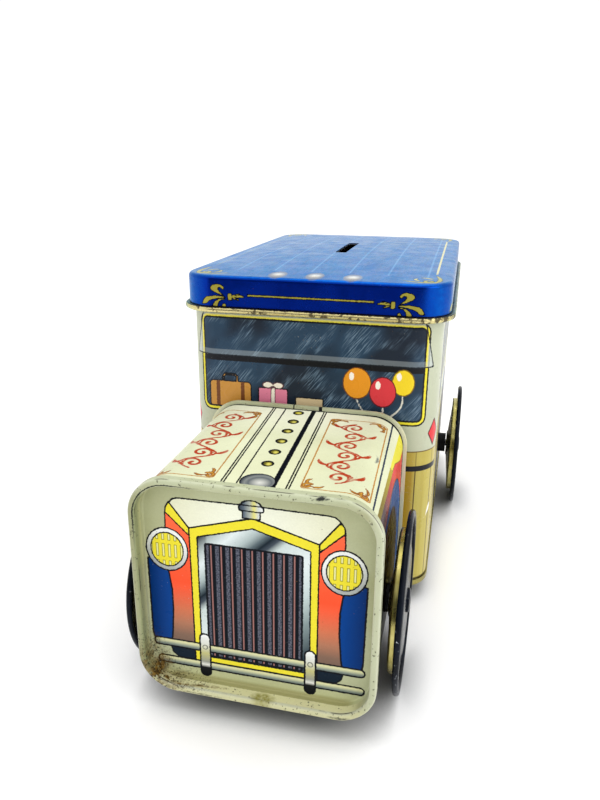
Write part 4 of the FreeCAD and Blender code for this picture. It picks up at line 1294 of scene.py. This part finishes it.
class TINBUS_OT_nose(bpy.types.Operator):
    """Presses the nose: the printed grille panel sunk behind a rounded rim"""

    bl_idname = "tin_bus.nose"
    bl_label = "Nose"

    def execute(self, context):
        """The rim's profile, from the sunk panel over the front and back inside the wall, carried round and closed."""
        gauge, radius, stand, face, rim_length, recess = millimetres(
            context, "sheet_gauge", "bonnet_radius", "rim_stand", "rim_face", "rim_length", "grille_recess"
        )
        low, high = cad_box("grille_panel")
        half_a, _, half_b = (high - low) / 2
        front, floor, end = low[1], low[1] + recess, low[1] + rim_length
        core, normal, _ = rounded_outline(half_a, half_b, radius, 0.42, 0.42, 0.42, 30)
        fillet, edge, outside, seat = 0.5, 0.8, -stand + SLACK, -stand - gauge - SLACK
        rim = carried(core, normal, radius, np.concatenate([
            bow((-face - fillet, floor - fillet), (fillet, fillet), 90, 0, 8),
            straight((-face, floor - fillet), (-face, front + 0.5), 5),
            bow((0.6 - face, front + 0.5), (0.6, 0.5), 180, 270, 8),
            bow((-edge, front + edge), (edge, edge), 270, 360, 10),
            straight((0.0, front + edge), (0.0, end), 3),
            [(0.0, end), (outside, end), (outside, front + gauge), (seat, front + gauge), (seat, floor + gauge)],
        ]))
        grid = closed_in(rim, floor, floor + gauge, 70, stride=6)
        press(
            "printed_nose", lengthwise(grid, (low + high)[2] / 2), "body", ["grille_panel"],
            printed_nose(context), poles=True, plates=nose_plates,
        )
        return {"FINISHED"}


class TINBUS_OT_wheels(bpy.types.Operator):
    """Turns the four wheels: dished drum, tyre disc with its rolled edge, and axle cap"""

    bl_idname = "tin_bus.wheels"
    bl_label = "Wheels"

    def execute(self, context):
        """Each pressing's profile, turned about its axle from the pressing's inner plane outwards."""
        bead, step, bore = millimetres(context, "tyre_bead", "tyre_step", "axle_bore")
        gold, black = gold_lacquer(context), black_enamel(context)
        for axle in ("front", "rear"):
            for side, way in SIDES.items():
                for piece, node, slot, finish, count, profile in (
                    ("drum", "hub_drum", "gold_lacquer", gold, 128, self.drum),
                    ("tyre", "tyre_disc", "black_enamel", black, 160, self.tyre),
                    ("cap", "axle_cap", "black_enamel", black, 48, self.cap),
                ):
                    node = f"{axle}_{side}_{node}"
                    low, high = cad_box(node)
                    _, y, z = (low + high) / 2
                    near, far = sorted(np.abs((low[0], high[0])))
                    shift, line = profile(far - near, (high - low)[2] / 2, bead, step, bore / 2)
                    press(
                        f"{piece}_{axle}_{side}", turned(line, y, z, near + shift, way, count), f"{axle}_wheels",
                        [node], finish, poles=piece == "cap",
                    )
        return {"FINISHED"}

    @staticmethod
    def drum(depth, radius, bead, step, bore):
        """A dish that rises from the bore to the shoulder, and a wall that comes back to the tyre; no shift."""
        dish, gauge, bend, boss, shoulder = 1.5, 0.4, 0.7, 5.0, 17.0
        return 0.0, np.concatenate([
            [(0.0, bore)],
            bow((0.5, boss), (0.5, 0.5), 180, 110, 5),
            straight((0.3, boss + 0.6), (dish, shoulder), 4),
            [(dish, shoulder + 0.2)],
            bow((dish + bend, radius - bend), (bend, bend), 180, 90, 8),
            straight((dish + bend, radius), (depth, radius), 3),
            [(depth, radius), (depth, radius - gauge), (dish + gauge, radius - gauge)],
            [(dish + gauge, shoulder), (gauge, boss + 0.5), (gauge, bore)],
        ])

    @staticmethod
    def tyre(depth, radius, bead, step, bore):
        """A rolled bead, a flat web and a raised middle; shifted so that the bead starts at the inner plane."""
        gauge, bead, step, lift = 0.4, bead / 2, step / 2, 0.6
        face = gauge + lift
        return bead - gauge, np.concatenate([
            bow((gauge, radius - bead), (bead, bead), 205, 520, 26),
            straight((gauge, radius - 2 * bead), (gauge, step), 3),
            [(gauge + 0.15, step - 0.4), (face - 0.1, step - 1.2), (face, step - 1.6)],
            straight((face, step - 1.6), (face, bore), 5),
            [(face, bore), (lift, bore), (lift, step - 1.5), (0.0, step)],
        ])

    @staticmethod
    def cap(depth, radius, bead, step, bore):
        """A blind cap with a bowed edge and a flat face, hollow round the axle's end; no shift."""
        foot, bend = 0.5, 1.6
        return 0.0, np.concatenate([
            [(0.6, 0.35), (0.6, bore), (0.0, bore), (0.0, radius)],
            straight((0.0, radius), (foot, radius), 2),
            bow((foot, radius - bend), (depth - foot, bend), 90, 0, 10),
            [(depth, radius - 2.4), (depth - 0.15, 0.8)],
        ])


class TINBUS_OT_running_gear(bpy.types.Operator):
    """Finishes the axles, bushes and rivets, whose CAD shapes are right as they are"""

    bl_idname = "tin_bus.running_gear"
    bl_label = "Axles, Bushes and Rivets"

    def execute(self, context):
        """Steel for the axles and rivets, plastic for the bushes."""
        finishes = {"axle": bright_steel(context), "bush": black_bush(context)}
        finishes["rivets"] = finishes["axle"]
        for name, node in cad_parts.items():
            finish = finishes.get(name.rsplit("_", 1)[-1])
            if finish:
                node.data.materials.clear()
                node.data.materials.append(finish)
        return {"FINISHED"}


class TINBUS_OT_stage(bpy.types.Operator):
    """Sets up the pale floor, the soft studio light and the camera"""

    bl_idname = "tin_bus.stage"
    bl_label = "Stage"

    # The camera fitted to the outlines: its place in metres, its axes, its focal length and its sensor.
    CAMERA_PLACE = (0.045301, -0.245630, 0.145530)
    CAMERA_RIGHT = (0.973247, 0.229646, 0.007282)
    CAMERA_UP = (-0.081651, 0.316063, 0.945218)
    CAMERA_BACK = (0.214764, -0.920525, 0.326358)
    FOCAL_LENGTH, SENSOR = 30.679, 36.0

    # Each softbox's place, size and power, and the point that they are aimed at.
    SOFTBOXES = {
        "softbox_top": ((0.10, 0.10, 0.95), 0.9, 3.0),
        "softbox_right": ((0.85, -0.45, 0.55), 0.6, 2.0),
    }
    AIM = (0.0, 0.0, 0.05)
    SKY_STRENGTH = 1.05

    def execute(self, context):
        """The floor, the light and the camera, in that order."""
        scene = context.scene
        scene.view_settings.view_transform = "Standard"
        self.lay_floor(scene)
        self.light(scene)
        lens = bpy.data.cameras.new("camera")
        lens.lens, lens.sensor_width, lens.sensor_fit, lens.clip_start = self.FOCAL_LENGTH, self.SENSOR, "AUTO", 0.01
        camera = bpy.data.objects.new("camera", lens)
        axes = Matrix((self.CAMERA_RIGHT, self.CAMERA_UP, self.CAMERA_BACK)).transposed()
        camera.matrix_world = Matrix.Translation(self.CAMERA_PLACE) @ axes.to_4x4()
        scene.collection.objects.link(camera)
        scene.camera = camera
        return {"FINISHED"}

    @staticmethod
    def card(scene, name, corners, finish):
        """A flat square, given by its corners in metres."""
        mesh = bpy.data.meshes.new(name)
        mesh.from_pydata(corners, [], [(0, 1, 2, 3)])
        mesh.materials.append(finish)
        flat = bpy.data.objects.new(name, mesh)
        scene.collection.objects.link(flat)
        return flat

    def lay_floor(self, scene):
        """White paper with a painted contact shadow, darker where little sky reaches it and glowing faintly where it is
        open, and a black flag in front that only mirrors show.
        """
        f = Finish("floor_paper")
        clear = f.ramp(f.node("AmbientOcclusion", {"Distance": 0.014}, 1), 0.3, 0.9)
        paper = f.mottle(40.0, (0.96, 0.96, 0.96), (0.98, 0.98, 0.98))
        f.put(f.shader.inputs["Emission Color"], (1.0, 1.0, 1.0))
        f.put(f.shader.inputs["Emission Strength"], f.both(clear, 0.07))
        finish = f.done(f.mix(clear, (0.20, 0.21, 0.21), paper), 0.7, dents=0.0)
        self.card(scene, "floor", [(-4, -4, 0), (4, -4, 0), (4, 4, 0), (-4, 4, 0)], finish)
        f = Finish("black_flag")
        finish = f.done(f.mix(f.noise(50.0), (0.02, 0.02, 0.025), (0.03, 0.03, 0.03)), 0.9, dents=0.0, specular=0.1)
        left, right, front, top = -0.30, 0.34, -0.45, 0.34
        corners = [(left, front, 0.0), (right, front, 0.0), (right, front, top), (left, front, top)]
        flag = self.card(scene, "flag", corners, finish)
        flag.visible_camera = flag.visible_diffuse = flag.visible_shadow = False

    def light(self, scene):
        """An even white sky, and two square softboxes aimed at the tin."""
        world = bpy.data.worlds.new("studio")
        world.use_nodes = True
        sky = world.node_tree.nodes["Background"].inputs
        sky["Color"].default_value = (1.0, 1.0, 1.0, 1.0)
        sky["Strength"].default_value = self.SKY_STRENGTH
        scene.world = world
        for name, (place, size, power) in self.SOFTBOXES.items():
            lamp = bpy.data.lights.new(name, "AREA")
            lamp.shape, lamp.size, lamp.energy = "SQUARE", size, power
            box = bpy.data.objects.new(name, lamp)
            box.location = place
            box.rotation_euler = (Vector(self.AIM) - Vector(place)).to_track_quat("-Z", "Y").to_euler()
            scene.collection.objects.link(box)


class TINBUS_PT_panel(bpy.types.Panel):
    """Lists the pieces of the tin bus"""

    bl_idname = "TINBUS_PT_panel"
    bl_label = "Tin Bus"
    bl_space_type = "VIEW_3D"
    bl_region_type = "UI"
    bl_category = "Tin Bus"

    def draw(self, context):
        """One button for each operator."""
        for operator in OPERATORS:
            self.layout.operator(operator.bl_idname)


OPERATORS = (
    TINBUS_OT_roof_lid, TINBUS_OT_cab, TINBUS_OT_bonnet, TINBUS_OT_nose, TINBUS_OT_wheels, TINBUS_OT_running_gear,
    TINBUS_OT_stage,
)
GROUPS = {"tin_bus_sizes": TinBusSizes, "tin_bus_inks": TinBusInks, "tin_bus_wear": TinBusWear}


def register():
    """Adds the classes, and hangs the property groups on the scene."""
    for kind in (*GROUPS.values(), *OPERATORS, TINBUS_PT_panel):
        bpy.utils.register_class(kind)
    for name, group in GROUPS.items():
        setattr(bpy.types.Scene, name, bpy.props.PointerProperty(type=group))


def unregister():
    """Takes the property groups off the scene, and removes the classes."""
    for name in GROUPS:
        delattr(bpy.types.Scene, name)
    for kind in (TINBUS_PT_panel, *reversed(OPERATORS), *GROUPS.values()):
        bpy.utils.unregister_class(kind)


def main():
    """Builds every piece."""
    register()
    bpy.ops.tin_bus.stage()
    bpy.ops.tin_bus.roof_lid()
    bpy.ops.tin_bus.cab()
    bpy.ops.tin_bus.bonnet()
    bpy.ops.tin_bus.nose()
    bpy.ops.tin_bus.wheels()
    bpy.ops.tin_bus.running_gear()


if __name__ == "__main__":
    main()
